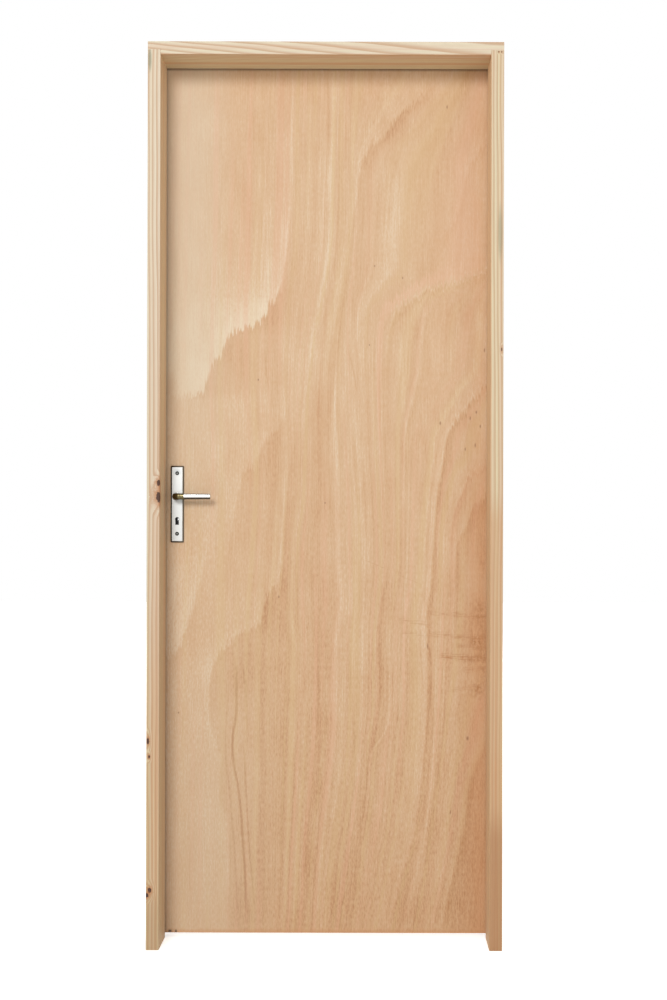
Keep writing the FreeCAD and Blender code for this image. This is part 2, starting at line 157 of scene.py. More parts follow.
class Graph:
    """The nodes of a material or of the world."""

    def __init__(self, owner):
        owner.use_nodes = True
        self.tree = owner.node_tree
        self.tree.nodes.clear()

    def node(self, kind, **settings):
        made = self.tree.nodes.new("ShaderNode" + kind)
        for key, value in settings.items():
            setattr(made, key, value)
        return made

    def feed(self, socket, value):
        """Links a field into a socket, or sets the socket to a plain value."""
        if isinstance(value, Field):
            self.tree.links.new(value.socket, socket)
        else:
            socket.default_value = value

    def output(self, node, which=0):
        return Field(self, node.outputs[which])

    def split(self, vector):
        parts = self.node("SeparateXYZ")
        self.feed(parts.inputs[0], vector)
        return [Field(self, output) for output in parts.outputs]

    def vector(self, place):
        """Three coordinates joined into one vector."""
        joined = self.node("CombineXYZ")
        for socket, value in zip(joined.inputs, place):
            self.feed(socket, value)
        return self.output(joined)

    def math(self, operation, *values):
        made = self.node("Math", operation=operation)
        for socket, value in zip(made.inputs, values):
            self.feed(socket, value)
        return self.output(made)

    def absolute(self, value):
        return self.math("ABSOLUTE", value)

    def larger(self, *pair):
        return self.math("MAXIMUM", *pair)

    def smaller(self, *pair):
        return self.math("MINIMUM", *pair)

    def step(self, value, start, end, change=1.0, base=0.0, shape="SMOOTHSTEP"):
        """Goes smoothly from base, where value is start, to base + change, where it is end."""
        made = self.node("MapRange", interpolation_type=shape)
        for socket, number in zip(made.inputs, (value, start, end, base, base + change)):
            self.feed(socket, number)
        return self.output(made)

    def hill(self, value, middle, width):
        """1 where value is middle, falling smoothly to 0 at width to either side."""
        return self.step(self.absolute(value - middle), width, 0.0)

    def noise(self, place, detail=1.0, roughness=0.5):
        """Smooth random values about 0.5; place holds three coordinates, one feature a unit."""
        made = self.node("TexNoise")
        self.feed(made.inputs["Vector"], self.vector(place))
        made.inputs["Scale"].default_value = 1.0
        made.inputs["Detail"].default_value = detail
        made.inputs["Roughness"].default_value = roughness
        return self.output(made)

    def curve(self, value, points, handle="AUTO_CLAMPED"):
        """A line through given points; both coordinates run from 0 to 1."""
        made = self.node("FloatCurve")
        made.mapping.extend = "HORIZONTAL"
        line = made.mapping.curves[0]
        points = sorted(points)
        line.points[0].location = points[0]
        line.points[-1].location = points[-1]
        for point in points[1:-1]:
            line.points.new(*point)
        for point in line.points:
            point.handle_type = handle
        made.mapping.update()
        self.feed(made.inputs["Value"], value)
        return self.output(made)

    def blob(self, vector, middle, reach, level):
        """level at middle, falling smoothly to 0 on an ellipsoid reach away from it."""
        scale = [1.0 / size for size in reach]
        offset = [-centre * factor for centre, factor in zip(middle, scale)]
        shift = self.node("VectorMath", operation="MULTIPLY_ADD")
        for socket, value in zip(shift.inputs, (vector, scale, offset)):
            self.feed(socket, value)
        length = self.node("VectorMath", operation="LENGTH")
        self.feed(length.inputs[0], self.output(shift))
        return self.step(self.output(length, "Value"), 1.0, 0.0, level)

    def distance(self, place, middle, reach=(1.0, 1.0)):
        """How far place is from middle, in units of reach along each axis."""
        offsets = [(value - centre) * (1.0 / size) for value, centre, size in zip(place, middle, reach)]
        return self.math("SQRT", add_up([offset * offset for offset in offsets]))

    def mix(self, share, first, second):
        """The first colour where share is 0, the second where it is 1."""
        made = self.node("Mix", data_type="RGBA")
        for place, value in ((0, share), (6, first), (7, second)):
            self.feed(made.inputs[place], value)
        return self.output(made, 2)

    def wash(self, colour, value, start, end, strength, shade):
        """Lays shade over colour, the more the further value has come from start to end."""
        return self.mix(self.step(value, start, end, strength), colour, shade)

    def ramp(self, value, stops):
        """A colour ramp through (place, colour) stops."""
        made = self.node("ValToRGB")
        elements = made.color_ramp.elements
        elements[0].position, elements[0].color = stops[0]
        elements[1].position, elements[1].color = stops[-1]
        for position, colour in stops[1:-1]:
            elements.new(position).color = colour
        self.feed(made.inputs[0], value)
        return self.output(made)

    def seen(self):
        """1 for what the camera sees, also in metal and through glass, and 0 for what lights the object."""
        path = self.node("LightPath")
        camera, glossy, through = [self.output(path, "Is " + kind + " Ray")
                                   for kind in ("Camera", "Glossy", "Transmission")]
        return self.larger(camera, self.larger(glossy, through))

    def close(self, kind, *shaders):
        """Ends the graph: joins the shaders, where there are two, and links them to the output."""
        last = shaders[0]
        if len(shaders) == 2:
            last = self.node("AddShader")
            for socket, shader in zip(last.inputs, shaders):
                self.feed(socket, self.output(shader))
        self.feed(self.node("Output" + kind).inputs[0], self.output(last))


class Surface(Graph):
    """A material, with the place and the direction of each point that it covers."""

    def __init__(self, name):
        self.material = bpy.data.materials.new(name)
        super().__init__(self.material)
        place = self.node("TexCoord")
        self.x, self.y, self.z = self.split(self.output(place, "Object"))
        self.normal_x, self.normal_y, self.normal_z = self.split(self.output(place, "Normal"))

    def place(self):
        return (self.x, self.y, self.z)

    def grit(self, fineness, detail=2.0):
        """Noise with fineness features a metre along every axis."""
        return self.noise(scaled(self.place(), [fineness] * 3), detail)

    def finish(self, colour, roughness, height, depth, **fixed):
        """Closes the material: a principled surface with a bump of the given depth."""
        shader = self.node("BsdfPrincipled")
        self.feed(shader.inputs["Base Color"], colour)
        self.feed(shader.inputs["Roughness"], roughness)
        for key, value in fixed.items():
            shader.inputs[key].default_value = value
        bump = self.node("Bump")
        bump.inputs["Distance"].default_value = depth
        self.feed(bump.inputs["Height"], height)
        self.feed(shader.inputs["Normal"], self.output(bump))
        self.close("Material", shader)
        return self.material


def add_up(parts):
    total = parts[0]
    for part in parts[1:]:
        total = total + part
    return total


def scaled(place, fineness):
    return [value * fine for value, fine in zip(place, fineness)]


def swing(noise, reach):
    """Noise made to vary about 0, by reach at most from low to high."""
    return (noise - 0.5) * reach


# Leaf: the veneer's figure, in pixels of the photograph

# Growth-ring edges, pale to their left and above, dark and fading to their right and below. Each point has
# a column, a row and how plain the edge is there, from 0 to 1
PALE_TONGUE = (
    (300, 40, 0.0), (293, 110, 0.0), (291, 170, 0.1), (288, 223, 0.25), (283, 273, 0.5), (278, 296, 0.9),
    (270, 301, 1.0), (265, 313, 1.0), (257, 323, 1.0), (240, 331, 1.0), (232, 334, 1.0), (226, 343, 1.0),
    (220, 357, 1.0), (212, 364, 1.0), (207, 380, 1.0), (203, 391, 1.0), (192, 396, 0.9), (186, 398, 0.5),
    (155, 401, 0.1),
)
UPPER_ARC = (
    (452, 60, 0.0), (430, 86, 0.2), (418, 99, 0.8), (408, 107, 1.0), (398, 115, 1.0), (387, 131, 1.0),
    (378, 140, 0.9), (367, 153, 0.7), (360, 170, 0.5), (357, 193, 0.5), (352, 220, 0.4), (346, 262, 0.6),
    (340, 300, 0.7), (333, 335, 0.4), (325, 380, 0.2), (316, 430, 0.0),
)
CORNER_LINE = (
    (497, 128, 0.6), (488, 140, 0.8), (483, 147, 0.8), (475, 157, 0.7), (465, 177, 0.6), (460, 207, 0.6),
    (447, 233, 0.5), (436, 246, 0.0),
)
RIGHT_FLAME = (
    (497, 270, 0.8), (488, 273, 1.0), (467, 280, 0.9), (443, 287, 0.7), (420, 297, 0.9), (400, 308, 0.8),
    (392, 322, 0.5), (387, 345, 0.3), (384, 390, 0.25), (383, 450, 0.1), (388, 520, 0.0),
)
RIGHT_TONGUE = (
    (496, 374, 0.9), (487, 383, 1.0), (470, 403, 1.0), (457, 420, 0.9), (448, 433, 1.0), (443, 460, 0.9),
    (438, 490, 0.7), (435, 520, 0.8), (433, 553, 0.7), (431, 587, 0.6), (427, 620, 0.7), (428, 690, 0.6),
    (425, 750, 0.4), (417, 820, 0.4), (400, 890, 0.3), (388, 940, 0.2),
)
SECOND_TONGUE = (
    (496, 452, 0.9), (480, 467, 1.0), (467, 480, 1.0), (460, 497, 0.9), (453, 517, 0.8), (450, 537, 0.7),
    (449, 600, 0.5), (447, 640, 0.5), (443, 707, 0.5), (437, 773, 0.4), (427, 857, 0.3), (413, 940, 0.2),
)
THIRD_TONGUE = (
    (496, 480, 0.8), (485, 497, 1.0), (473, 507, 1.0), (465, 530, 1.0), (457, 543, 0.8), (455, 600, 0.4),
    (458, 680, 0.3), (456, 760, 0.3), (446, 860, 0.3), (436, 940, 0.2),
)
MIDDLE_TONGUE = (
    (290, 408, 0.2), (276, 430, 0.8), (269, 438, 1.0), (260, 453, 1.0), (255, 467, 1.0), (243, 473, 1.0),
    (240, 487, 0.8), (235, 513, 0.6), (232, 533, 0.5), (227, 560, 0.4), (223, 587, 0.4), (221, 613, 0.3),
    (214, 650, 0.0),
)
LOWER_TONGUE = (
    (296, 430, 0.1), (290, 463, 0.4), (283, 540, 0.6), (282, 567, 0.8), (277, 587, 1.0), (267, 593, 1.0),
    (260, 624, 1.0), (240, 634, 1.0), (230, 644, 1.0), (218, 657, 1.0), (210, 690, 0.8), (212, 730, 0.6),
    (222, 757, 0.6), (220, 805, 0.5), (229, 815, 0.7), (230, 873, 0.8), (230, 940, 0.8),
)
FOOT_TONGUE = (
    (212, 520, 0.0), (205, 567, 0.5), (197, 597, 0.7), (190, 620, 0.8), (184, 640, 1.0), (175, 655, 1.0),
    (155, 661, 0.6),
)
CORNER_FLAME = (
    (497, 690, 0.6), (486, 740, 0.8), (470, 780, 0.6), (463, 830, 0.6), (455, 870, 0.5), (447, 905, 0.6),
    (440, 940, 0.6),
)


def places(points, first, last):
    """The columns and rows of some of a growth-ring edge's points."""
    return [point[:2] for point in points[first:last]]


# The grain's own lines, from left to right, which the fine bands run between. With each line goes the width,
# in metres, of the strip of wood between it and the line before
GRAIN_LEFT = ((150, 40), (150, 950))
GRAIN_HEART = (
    (296, 40), (293, 120), (291, 200), (288, 260), (283, 310), (282, 380), (286, 440), (287, 480),
    (284, 540), (282, 567), (279, 600), (277, 650), (276, 750), (274, 850), (272, 950),
)
GRAIN_PALE = (
    (333, 40), (332, 143), (330, 200), (327, 260), (320, 300), (312, 343), (306, 400), (304, 450),
    (303, 500), (298, 540), (297, 600), (300, 650), (298, 750), (292, 850), (286, 950),
)
GRAIN_MIDDLE = (
    (356, 40), (350, 140), (351, 200), (346, 262), (340, 300), (335, 343), (333, 413), (335, 447),
    (337, 513), (340, 580), (342, 600), (337, 640), (335, 733), (330, 780), (323, 840), (314, 950),
)
GRAIN_ARC = (
    (462, 40), (430, 86), (408, 107), (387, 131), (367, 153), (360, 175), (358, 200), (356, 262),
    (352, 320), (356, 380), (360, 440), (364, 500), (366, 560), (364, 640), (362, 733), (356, 800),
    (348, 860), (336, 950),
)
GRAIN_FLAME = (
    (500, 40), (499, 262), *places(RIGHT_FLAME, 1, 9), (385, 450), (388, 520), (390, 567), (383, 620),
    (380, 660), (378, 710), (372, 745), (368, 800), (360, 860), (349, 950),
)
GRAIN_TONGUE = ((504, 40), (503, 366), *places(RIGHT_TONGUE, 1, 15), (386, 950))
GRAIN_SECOND = ((508, 40), (507, 444), *places(SECOND_TONGUE, 1, 11), (411, 950))
GRAIN_CORNER = ((516, 40), (515, 680), (497, 700), *places(CORNER_FLAME, 1, 6), (438, 950))
GRAIN_RIGHT = ((530, 40), (530, 950))
GRAIN_LINES = (
    (GRAIN_HEART, 0.26),
    (GRAIN_PALE, 0.07),
    (GRAIN_MIDDLE, 0.07),
    (GRAIN_ARC, 0.06),
    (GRAIN_FLAME, 0.06),
    (GRAIN_TONGUE, 0.11),
    (GRAIN_SECOND, 0.05),
    (GRAIN_CORNER, 0.08),
    (GRAIN_RIGHT, 0.10),
)

# Each edge's points, how far its dark and its pale side fade, in pixels, and how strong they are
RING_EDGES = (
    (PALE_TONGUE, 34, 42, 0.86, 0.9),
    (UPPER_ARC, 18, 12, 0.7, 0.4),
    (CORNER_LINE, 3, 10, 0.6, 0.4),
    (RIGHT_FLAME, 16, 12, 1.0, 0.4),
    (RIGHT_TONGUE, 8, 2.5, 0.6, 0.95),
    (SECOND_TONGUE, 4, 6, 0.6, 0.5),
    (THIRD_TONGUE, 12, 6, 0.7, 0.4),
    (MIDDLE_TONGUE, 34, 22, 0.40, 0.25),
    (LOWER_TONGUE, 26, 18, 0.55, 0.45),
    (FOOT_TONGUE, 22, 22, 0.3, 0.5),
    (CORNER_FLAME, 16, 6, 0.6, 0.4),
)

# Pale (below 0) and dark streaks along the grain: points, half width in pixels, strength
STREAKS = (
    (((292, 66), (291, 120), (290, 200), (287, 232), (282, 282)), 2.6, -0.7),
    (((333, 66), (332, 143), (330, 175), (331, 220), (327, 260), (320, 300), (312, 343), (306, 400)),
     4.0, -0.8),
    (((325, 66), (327, 93), (328, 127), (326, 150)), 2.4, 0.7),
    (((347, 255), (342, 293), (337, 343), (330, 400), (327, 440)), 5.0, 0.6),
    (((361, 288), (357, 327), (351, 356)), 6.0, -0.6),
    (((307, 380), (303, 430), (302, 497), (296, 535), (293, 567), (292, 613), (297, 660)), 5.0, -0.5),
    (((337, 380), (333, 413), (335, 447), (337, 513), (340, 580), (342, 600), (337, 640), (335, 733),
      (330, 780), (323, 840), (316, 934)), 4.0, -0.7),
    (((364, 440), (363, 463), (365, 513), (366, 560)), 2.6, 0.6),
    (((390, 560), (383, 600), (379, 640), (381, 680), (377, 715), (372, 745), (366, 800), (358, 860)),
     4.2, 0.8),
    (((391, 640), (390, 707), (386, 730), (373, 752), (369, 790), (361, 850)), 2.2, -0.8),
    (((237, 662), (237, 707), (233, 745), (240, 797), (244, 845), (248, 920)), 2.2, 2.2),
    (((244, 740), (249, 830), (256, 915)), 1.6, 1.3),
    (((229, 690), (226, 745), (231, 800), (236, 860), (239, 930)), 1.8, 1.0),
    (((241, 655), (246, 690), (247, 730)), 2.6, 0.9),
    (((428, 636), (432, 673), (430, 712)), 1.8, 0.9),
    (((437, 640), (436, 700), (432, 780), (424, 850)), 1.5, -0.9),
    (((445, 640), (444, 690), (440, 765)), 1.5, -0.9),
    (((300, 560), (301, 640), (299, 700), (292, 760), (288, 840), (286, 930)), 3.4, -0.5),
    (((316, 600), (318, 680), (320, 760), (312, 850), (305, 930)), 3.0, 0.5),
    (((349, 640), (352, 700), (355, 760), (349, 830), (340, 930)), 2.8, 0.5),
    (((400, 330), (404, 400), (408, 480), (407, 560), (404, 640), (400, 720), (392, 800)), 2.4, -0.5),
    (((192, 838), (190, 870), (193, 905)), 1.3, 0.6),
    (((264, 350), (267, 380), (270, 396)), 1.0, 0.8),
    (((346, 345), (352, 366), (358, 400)), 0.9, 1.1),
    (((262, 448), (266, 468), (268, 492)), 1.0, 0.8),
)

# Clouds of darker (above 0) or paler wood: column, row, half width, half height, strength
CLOUDS = (
    (240, 215, 52, 120, 0.5),
    (190, 110, 50, 90, -0.35),
    (186, 340, 28, 90, -0.45),
    (225, 318, 34, 26, -0.35),
    (263, 475, 40, 90, 0.35),
    (250, 672, 42, 46, 0.55),
    (178, 590, 26, 70, -0.45),
    (182, 800, 34, 120, -0.15),
    (405, 200, 46, 60, -0.25),
    (462, 310, 42, 22, 0.5),
    (478, 520, 26, 70, 0.55),
    (480, 630, 24, 60, 0.7),
    (474, 850, 30, 90, 0.4),
    (240, 915, 24, 42, 0.9),
    (345, 905, 36, 40, 0.5),
    (410, 915, 26, 36, 0.45),
    (430, 460, 30, 70, 0.35),
    (345, 480, 44, 90, 0.15),
    (335, 850, 30, 60, 0.20),
    (260, 610, 22, 40, 0.20),
    (330, 645, 26, 56, 0.30),
    (166, 388, 14, 22, 1.30),
    (295, 920, 20, 30, 0.4),
    (478, 918, 26, 34, 0.5),
    (395, 130, 26, 18, 0.35),
    (492, 648, 10, 66, 0.7),
    (163, 915, 7, 34, 1.1),
    (484, 505, 16, 26, 0.3),
)

# Small dark knots and pin holes: column, row, half width, half height
SPECKS = (
    (279, 597, 1.3, 2.0), (179, 713, 1.2, 1.6), (258, 380, 1.3, 1.8), (451, 812, 1.0, 3.2),
    (484, 350, 1.1, 3.4), (440, 423, 1.4, 2.8), (475, 445, 1.2, 3.4), (465, 449, 1.0, 2.8),
    (374, 266, 1.2, 1.4), (402, 278, 1.0, 1.8), (446, 107, 1.1, 3.0), (369, 345, 1.0, 1.4),
    (325, 503, 1.2, 1.6), (468, 738, 2.0, 3.2), (470, 418, 1.0, 3.0), (428, 646, 1.2, 4.4),
    (476, 412, 1.4, 2.4), (480, 426, 1.2, 2.6),
)

# Brown smears across the right of the leaf: its left and right columns, its rows there, half height, strength
SMEARS = (
    (396, 436, 619, 626, 4.6, 0.50),
    (398, 428, 632, 635, 3.6, 0.45),
    (424, 494, 612, 617, 4.4, 0.60),
    (424, 494, 633, 640, 5.0, 0.65),
    (436, 494, 656, 658, 5.4, 0.90),
    (452, 494, 645, 648, 4.0, 0.55),
    (458, 494, 670, 668, 4.4, 0.50),
    (436, 494, 692, 684, 4.4, 0.40),
    (360, 394, 558, 572, 1.1, 0.5),
    (396, 426, 574, 586, 1.1, 0.35),
)

# Blotchy brown stains at the leaf's right edge: column, row, half width, half height, strength
STAINS = (
    (476, 642, 10, 11, 0.85),
    (472, 659, 15, 7, 0.70),
    (477, 689, 10, 13, 0.65),
    (479, 612, 9, 20, 0.50),
    (483, 650, 9, 80, 0.50),
    (482, 560, 8, 40, 0.30),
)

# The black scuffs on the leaf's lower left corner: column, half width
SCUFFS = ((164, 2.5), (171, 3.0), (177, 1.6))
SCUFF_ROW = 931.4
SCUFF_HEIGHT = 2.8


def across(x_pixel):
    """How far across the leaf a pixel column is, as a share of its width."""
    return (x_pixel - LEAF_PIXEL_LEFT) / LEAF_PIXELS_PER_METRE / LEAF_SPAN


def up(y_pixel):
    """How high up a pixel row is on the leaf, as a share of LEAF_REACH."""
    return (LEAF_PIXEL_FLOOR - y_pixel) / LEAF_PIXELS_PER_METRE / LEAF_REACH


def pixels(count):
    """A length on the leaf given in pixels of the photograph, in metres."""
    return count / LEAF_PIXELS_PER_METRE


def pixel_share(count):
    """A length in pixels, as a share of the leaf's width."""
    return pixels(count) / LEAF_SPAN


# A growth ring's edge, as a profile about the middle of its curve: how wide its sharp step and darkest line
# are, in pixels, and how it fades, in widths and levels
PROFILE_MIDDLE = 0.5
SHARP_PIXELS = 0.5
DARK_LINE_PIXELS = 1.8
DARK_LINE_LEVEL = 0.40
DARK_BOOST = 1.3
FADE_HALFWAY = 0.8
FADE_LEVEL = 0.18
FADE_END = 2.2

# Noise over the leaf: features a metre across and up, a layer of its own, and then detail and roughness
FIBRE = (620.0, 9.0, 3.0)
BROAD = (190.0, 3.0, 7.0, 2.0)
JAGGED = (400.0, 5.0, 27.0)
MOTTLE = (22.0, 9.0, 15.0, 3.0, 0.6)
DASHES = (340.0, 90.0, 23.0, 2.0, 0.6)
PORES = (1500.0, 60.0, 17.0)
SMEAR_BREAKS = (34.0, 300.0, 21.0, 3.0, 0.7)
BLOTCHES = (130.0, 90.0, 31.0, 3.0, 0.6)
SWAY = (5.0, 1.6, 11.0, 2.0)
SWAY_REACH = 0.02

# Noise across the grain's own lines: the bands, with how dark each makes the wood, and the tint
BANDS = (
    ((40.0, 0.5, 5.0, 2.0, 0.55), 0.50),
    ((170.0, 1.0, 9.0, 2.0, 0.6), 0.36),
    ((520.0, 2.0, 13.0), 0.22),
)
TINT = (62.0, 0.8, 19.0)

# How far noise moves the teeth of the growth-ring edges, in metres, and how dark it makes the wood
TEETH = ((FIBRE, 0.034), (BROAD, 0.06), (JAGGED, 0.045))
TEXTURE = ((FIBRE, 0.40), (MOTTLE, 0.34))

# How dark each thing makes the veneer. The rows go by noise for the pores, by height for DASH, TOP and
# FOOT_HEIGHT, and across the leaf for the others.
FIGURE_DARKNESS = 0.60
STREAK_DARKNESS = 0.17
CLOUD_DARKNESS = 0.20
PORE_DARKNESS = (0.62, 0.75, 0.06)
BAND_PLAINNESS = (0.12, 0.36, 0.85, 0.15)
DASH_DARKNESS = (1.3, 0.4, 0.35, 0.45)
MIDDLE_DARKNESS = (0.12, 0.30, 0.05)
# TOP_DARKNESS and the FOOT rows make the wood darker towards the top and the bottom: partly its own colour
# and partly painted shade of the light falling off there
TOP_DARKNESS = (1.5, 2.05, 0.09)
FOOT_HEIGHT = (1.9, 0.0)
FOOT_DARKNESS = (0.04, 0.30, 0.15, 0.05)
EVEN_DARKNESS = 0.42
VENEER_TONES = (
    (0.0, tone(226, 211, 185)),
    (0.25, tone(218, 195, 165)),
    (0.45, tone(209, 176, 140)),
    (0.70, tone(200, 159, 119)),
    (1.0, tone(176, 126, 82)),
)

# Washes over the veneer, by noise, and by height and then by place across the leaf
TINT_WASHES = (
    (0.52, 0.72, 0.30, tone(218, 168, 138)),
    (0.48, 0.28, 0.30, tone(208, 180, 130)),
)
PLACE_WASHES = (
    ((1.0, 0.2), (0.36, 0.10, 0.36), tone(203, 180, 151)),
    ((0.9, 1.5), (0.20, 0.06, 0.50), tone(208, 192, 166)),
)
RUDDY_PLACE = (0.70, 0.80)
RUDDY_HEIGHT = (1.3, 0.9, 0.25, 0.10)
RUDDY_MOTTLE = 0.20
RUDDY_TONE = tone(204, 146, 100)

# Painted shade: a dark line where the leaf meets the stops, where the gap's shadow falls; and a brown foot
STOP_SHADE_TOP = (2.091, 2.097, 0.6)
STOP_SHADE_SIDE = (0.0195, 0.0135, 0.12)
STOP_SHADE_TONE = tone(106, 68, 38)
FOOT_WASH = (LEAF_LOW.z + pixels(5), 0.012, 0.5, tone(196, 140, 92))

# The front's marks: how much of the wood's colour each may cover, and with what. The gaps come by noise.
SMEAR_PAINT = (0.8, tone(172, 112, 58))
STAIN_PAINT = (0.7, tone(166, 110, 60))
SPECK_PAINT = (0.7, tone(140, 94, 58))
SCUFF_PAINT = (0.9, tone(44, 40, 38))
SMEAR_GAPS = (0.40, 0.68)
SMEAR_MOTTLE = (0.5, 0.60)
STAIN_GAPS = (0.36, 0.66)
SPECK_LEVEL = 0.8

# The veneer's gloss and bump
VENEER_ROUGHNESS = 0.52
VENEER_FIBRE_ROUGHNESS = 0.14
VENEER_BROAD_BUMP = 0.5
VENEER_BUMP = 0.00025

# The edge of each skin: the dark core of its three plies, as shares of its thickness, and its grit
CORE_DEPTH = 0.55
CORE_REACH = 0.30
CORE_STRENGTH = 0.8
PLY_GRIT = 700.0
PLY_GRIT_STRENGTH = 0.2
PLY_TONES = (tone(212, 178, 140), tone(150, 108, 70))
PLY_FACING = (0.7, 0.4)


class Leaf:
    """A face of the leaf: right is from the lock edge and rise from the floor, in metres. The back's figure
    is the front's turned round."""

    def __init__(self, graph, mirrored):
        self.graph = graph
        self.right = LEAF_HIGH.x - graph.x if mirrored else graph.x - LEAF_LOW.x
        self.rise = LEAF_LOW.z + LEAF_HIGH.z - graph.z if mirrored else graph.z
        self.made = {}
        self.drawn = self.right * (1.0 / LEAF_SPAN / LINE_REACH) + LINE_START
        self.height = self.rise * (1.0 / LEAF_REACH)
        self.toothed_height = (self.rise + self.swings(TEETH)) * (1.0 / LEAF_REACH)
        self.place = graph.vector((self.right, self.rise, 0.0))

    def noise(self, pattern, flow=None):
        """Noise across the leaf or, where flow is given, across the grain's lines; made once a pattern."""
        if pattern not in self.made:
            side = self.right if flow is None else flow
            fine_across, fine_up, layer, *look = pattern
            place = (side * fine_across, layer, self.rise * fine_up)
            self.made[pattern] = self.graph.noise(place, *look)
        return self.made[pattern]

    def swings(self, rows, flow=None):
        """The sum of some noise patterns about 0, each with its own strength."""
        return add_up([swing(self.noise(pattern, flow), amount) for pattern, amount in rows])

    def line(self, points, height):
        """How far across the leaf a drawn line runs at each height, as a share of LINE_REACH widths."""
        places = [(up(point[1]), across(point[0]) / LINE_REACH + LINE_START) for point in points]
        return self.graph.curve(height, places)

    def beside(self, points, height):
        """How far to the right of a drawn line each point is, as a share of the leaf's width."""
        return (self.drawn - self.line(points, height)) * LINE_REACH

    def grain(self):
        """A coordinate, in metres, that is nearly the same all along each of the grain's own lines."""
        before = self.line(GRAIN_LEFT, self.toothed_height)
        strips = []
        for points, width in GRAIN_LINES:
            after = self.line(points, self.toothed_height)
            strips.append(self.graph.step(self.drawn, before, after, width, shape="LINEAR"))
            before = after
        return add_up(strips) + swing(self.noise(SWAY), SWAY_REACH)

    def ring_edge(self, points, dark_width, pale_width, dark, pale):
        """A growth ring's edge: positive where the wood is darker, negative where it is paler."""
        middle = PROFILE_MIDDLE
        sharp = pixel_share(SHARP_PIXELS)
        near = pixel_share(DARK_LINE_PIXELS)
        profile = (
            (0.0, middle),
            (middle - pixel_share(FADE_END * pale_width), middle),
            (middle - pixel_share(FADE_HALFWAY * pale_width), middle - FADE_LEVEL * pale),
            (middle - sharp, middle - 0.5 * pale),
            (middle + sharp, middle + 0.5 * min(dark * DARK_BOOST, 1.0)),
            (middle + near, middle + DARK_LINE_LEVEL * dark),
            (middle + near + pixel_share(FADE_HALFWAY * dark_width), middle + FADE_LEVEL * dark),
            (middle + near + pixel_share(FADE_END * dark_width), middle),
            (1.0, middle),
        )
        offset = self.beside(points, self.toothed_height) + middle
        edge = self.graph.curve(offset, profile, "VECTOR") - middle
        plainness = [(up(point[1]), point[2]) for point in points]
        plainness.append((max(min(plainness)[0] - EDGE_FADE, 0.0), 0.0))
        plainness.append((min(max(plainness)[0] + EDGE_FADE, 1.0), 0.0))
        return edge * self.graph.curve(self.toothed_height, plainness, "VECTOR")

    def streak(self, points, half_width, strength):
        """A thin line along the grain, fading at both its ends."""
        offset = self.graph.absolute(self.beside(points, self.height))
        line = self.graph.step(offset, pixel_share(half_width), 0.0, strength)
        top = up(points[0][1])
        foot = up(points[-1][1])
        fade = min(0.25 * (top - foot), STREAK_FADE)
        ends = (
            (0.0, 0.0),
            (max(foot - STREAK_END, 0.0), 0.0),
            (foot + fade, 1.0),
            (top - fade, 1.0),
            (min(top + STREAK_END, 1.0), 0.0),
            (1.0, 0.0),
        )
        return line * self.graph.curve(self.height, ends, "VECTOR")

    def spot(self, column, row, wide, tall, level):
        """level at a pixel of the photograph, falling to 0 at an ellipse wide and tall pixels about it."""
        middle = (across(column) * LEAF_SPAN, up(row) * LEAF_REACH, 0.0)
        return self.graph.blob(self.place, middle, (pixels(wide), pixels(tall), 1.0), level)

    def smear(self, left, right, left_row, right_row, half_height, strength):
        """A thin mark from one pixel of the photograph to another, fading at its ends."""
        start, end = [across(column) * LEAF_SPAN for column in (left, right)]
        low, high = [up(row) * LEAF_REACH for row in (left_row, right_row)]
        fade = pixels(SMEAR_FADE_PIXELS)
        line = (self.right - start) * ((high - low) / (end - start)) + low
        inside = self.graph.step(self.right, start, start + fade)
        inside = inside * self.graph.step(self.right, end, end - fade, strength)
        return self.graph.hill(self.rise - line, 0.0, pixels(half_height)) * inside

    def darkness(self, flow):
        """How dark the wood is: its drawn figure, the bands along the grain, and the finest texture."""
        graph = self.graph
        dashes = swing(self.noise(DASHES), 1.0) * graph.step(self.rise, *DASH_DARKNESS)
        # Partly painted shade: the wood darker low down and, with TOP_DARKNESS, high up
        foot = graph.step(self.rise, *FOOT_HEIGHT) * graph.step(self.right, *FOOT_DARKNESS)
        return add_up([
            add_up([self.ring_edge(*edge) for edge in RING_EDGES]) * FIGURE_DARKNESS,
            add_up([self.streak(*streak) for streak in STREAKS]) * STREAK_DARKNESS,
            add_up([self.spot(*cloud) for cloud in CLOUDS]) * CLOUD_DARKNESS,
            self.swings(BANDS, flow) * graph.step(self.right, *BAND_PLAINNESS),
            self.swings(TEXTURE),
            graph.step(self.noise(PORES), *PORE_DARKNESS),
            dashes,
            graph.step(self.right, *MIDDLE_DARKNESS),
            foot,
            graph.step(self.rise, *TOP_DARKNESS),
        ])

    def colour(self):
        """The plain wood's colour, with painted shade where it meets the stops."""
        graph = self.graph
        flow = self.grain()
        colour = graph.ramp(self.darkness(flow) + EVEN_DARKNESS, VENEER_TONES)
        tint = self.noise(TINT, flow)
        for wash in TINT_WASHES:
            colour = graph.wash(colour, tint, *wash)
        for by_height, by_side, shade in PLACE_WASHES:
            share = graph.step(self.rise, *by_height) * graph.step(self.right, *by_side)
            colour = graph.mix(share, colour, shade)
        ruddy = graph.step(self.rise, *RUDDY_HEIGHT) + self.noise(MOTTLE) * RUDDY_MOTTLE
        colour = graph.mix(ruddy * graph.step(self.right, *RUDDY_PLACE), colour, RUDDY_TONE)
        # Painted shade: the leaf darkened in a thin line along the stops, where their shadow falls in the gap
        painted_shade = graph.larger(graph.step(self.rise, *STOP_SHADE_TOP), graph.step(self.right, *STOP_SHADE_SIDE))
        colour = graph.mix(painted_shade, colour, STOP_SHADE_TONE)
        return graph.wash(colour, self.rise, *FOOT_WASH)

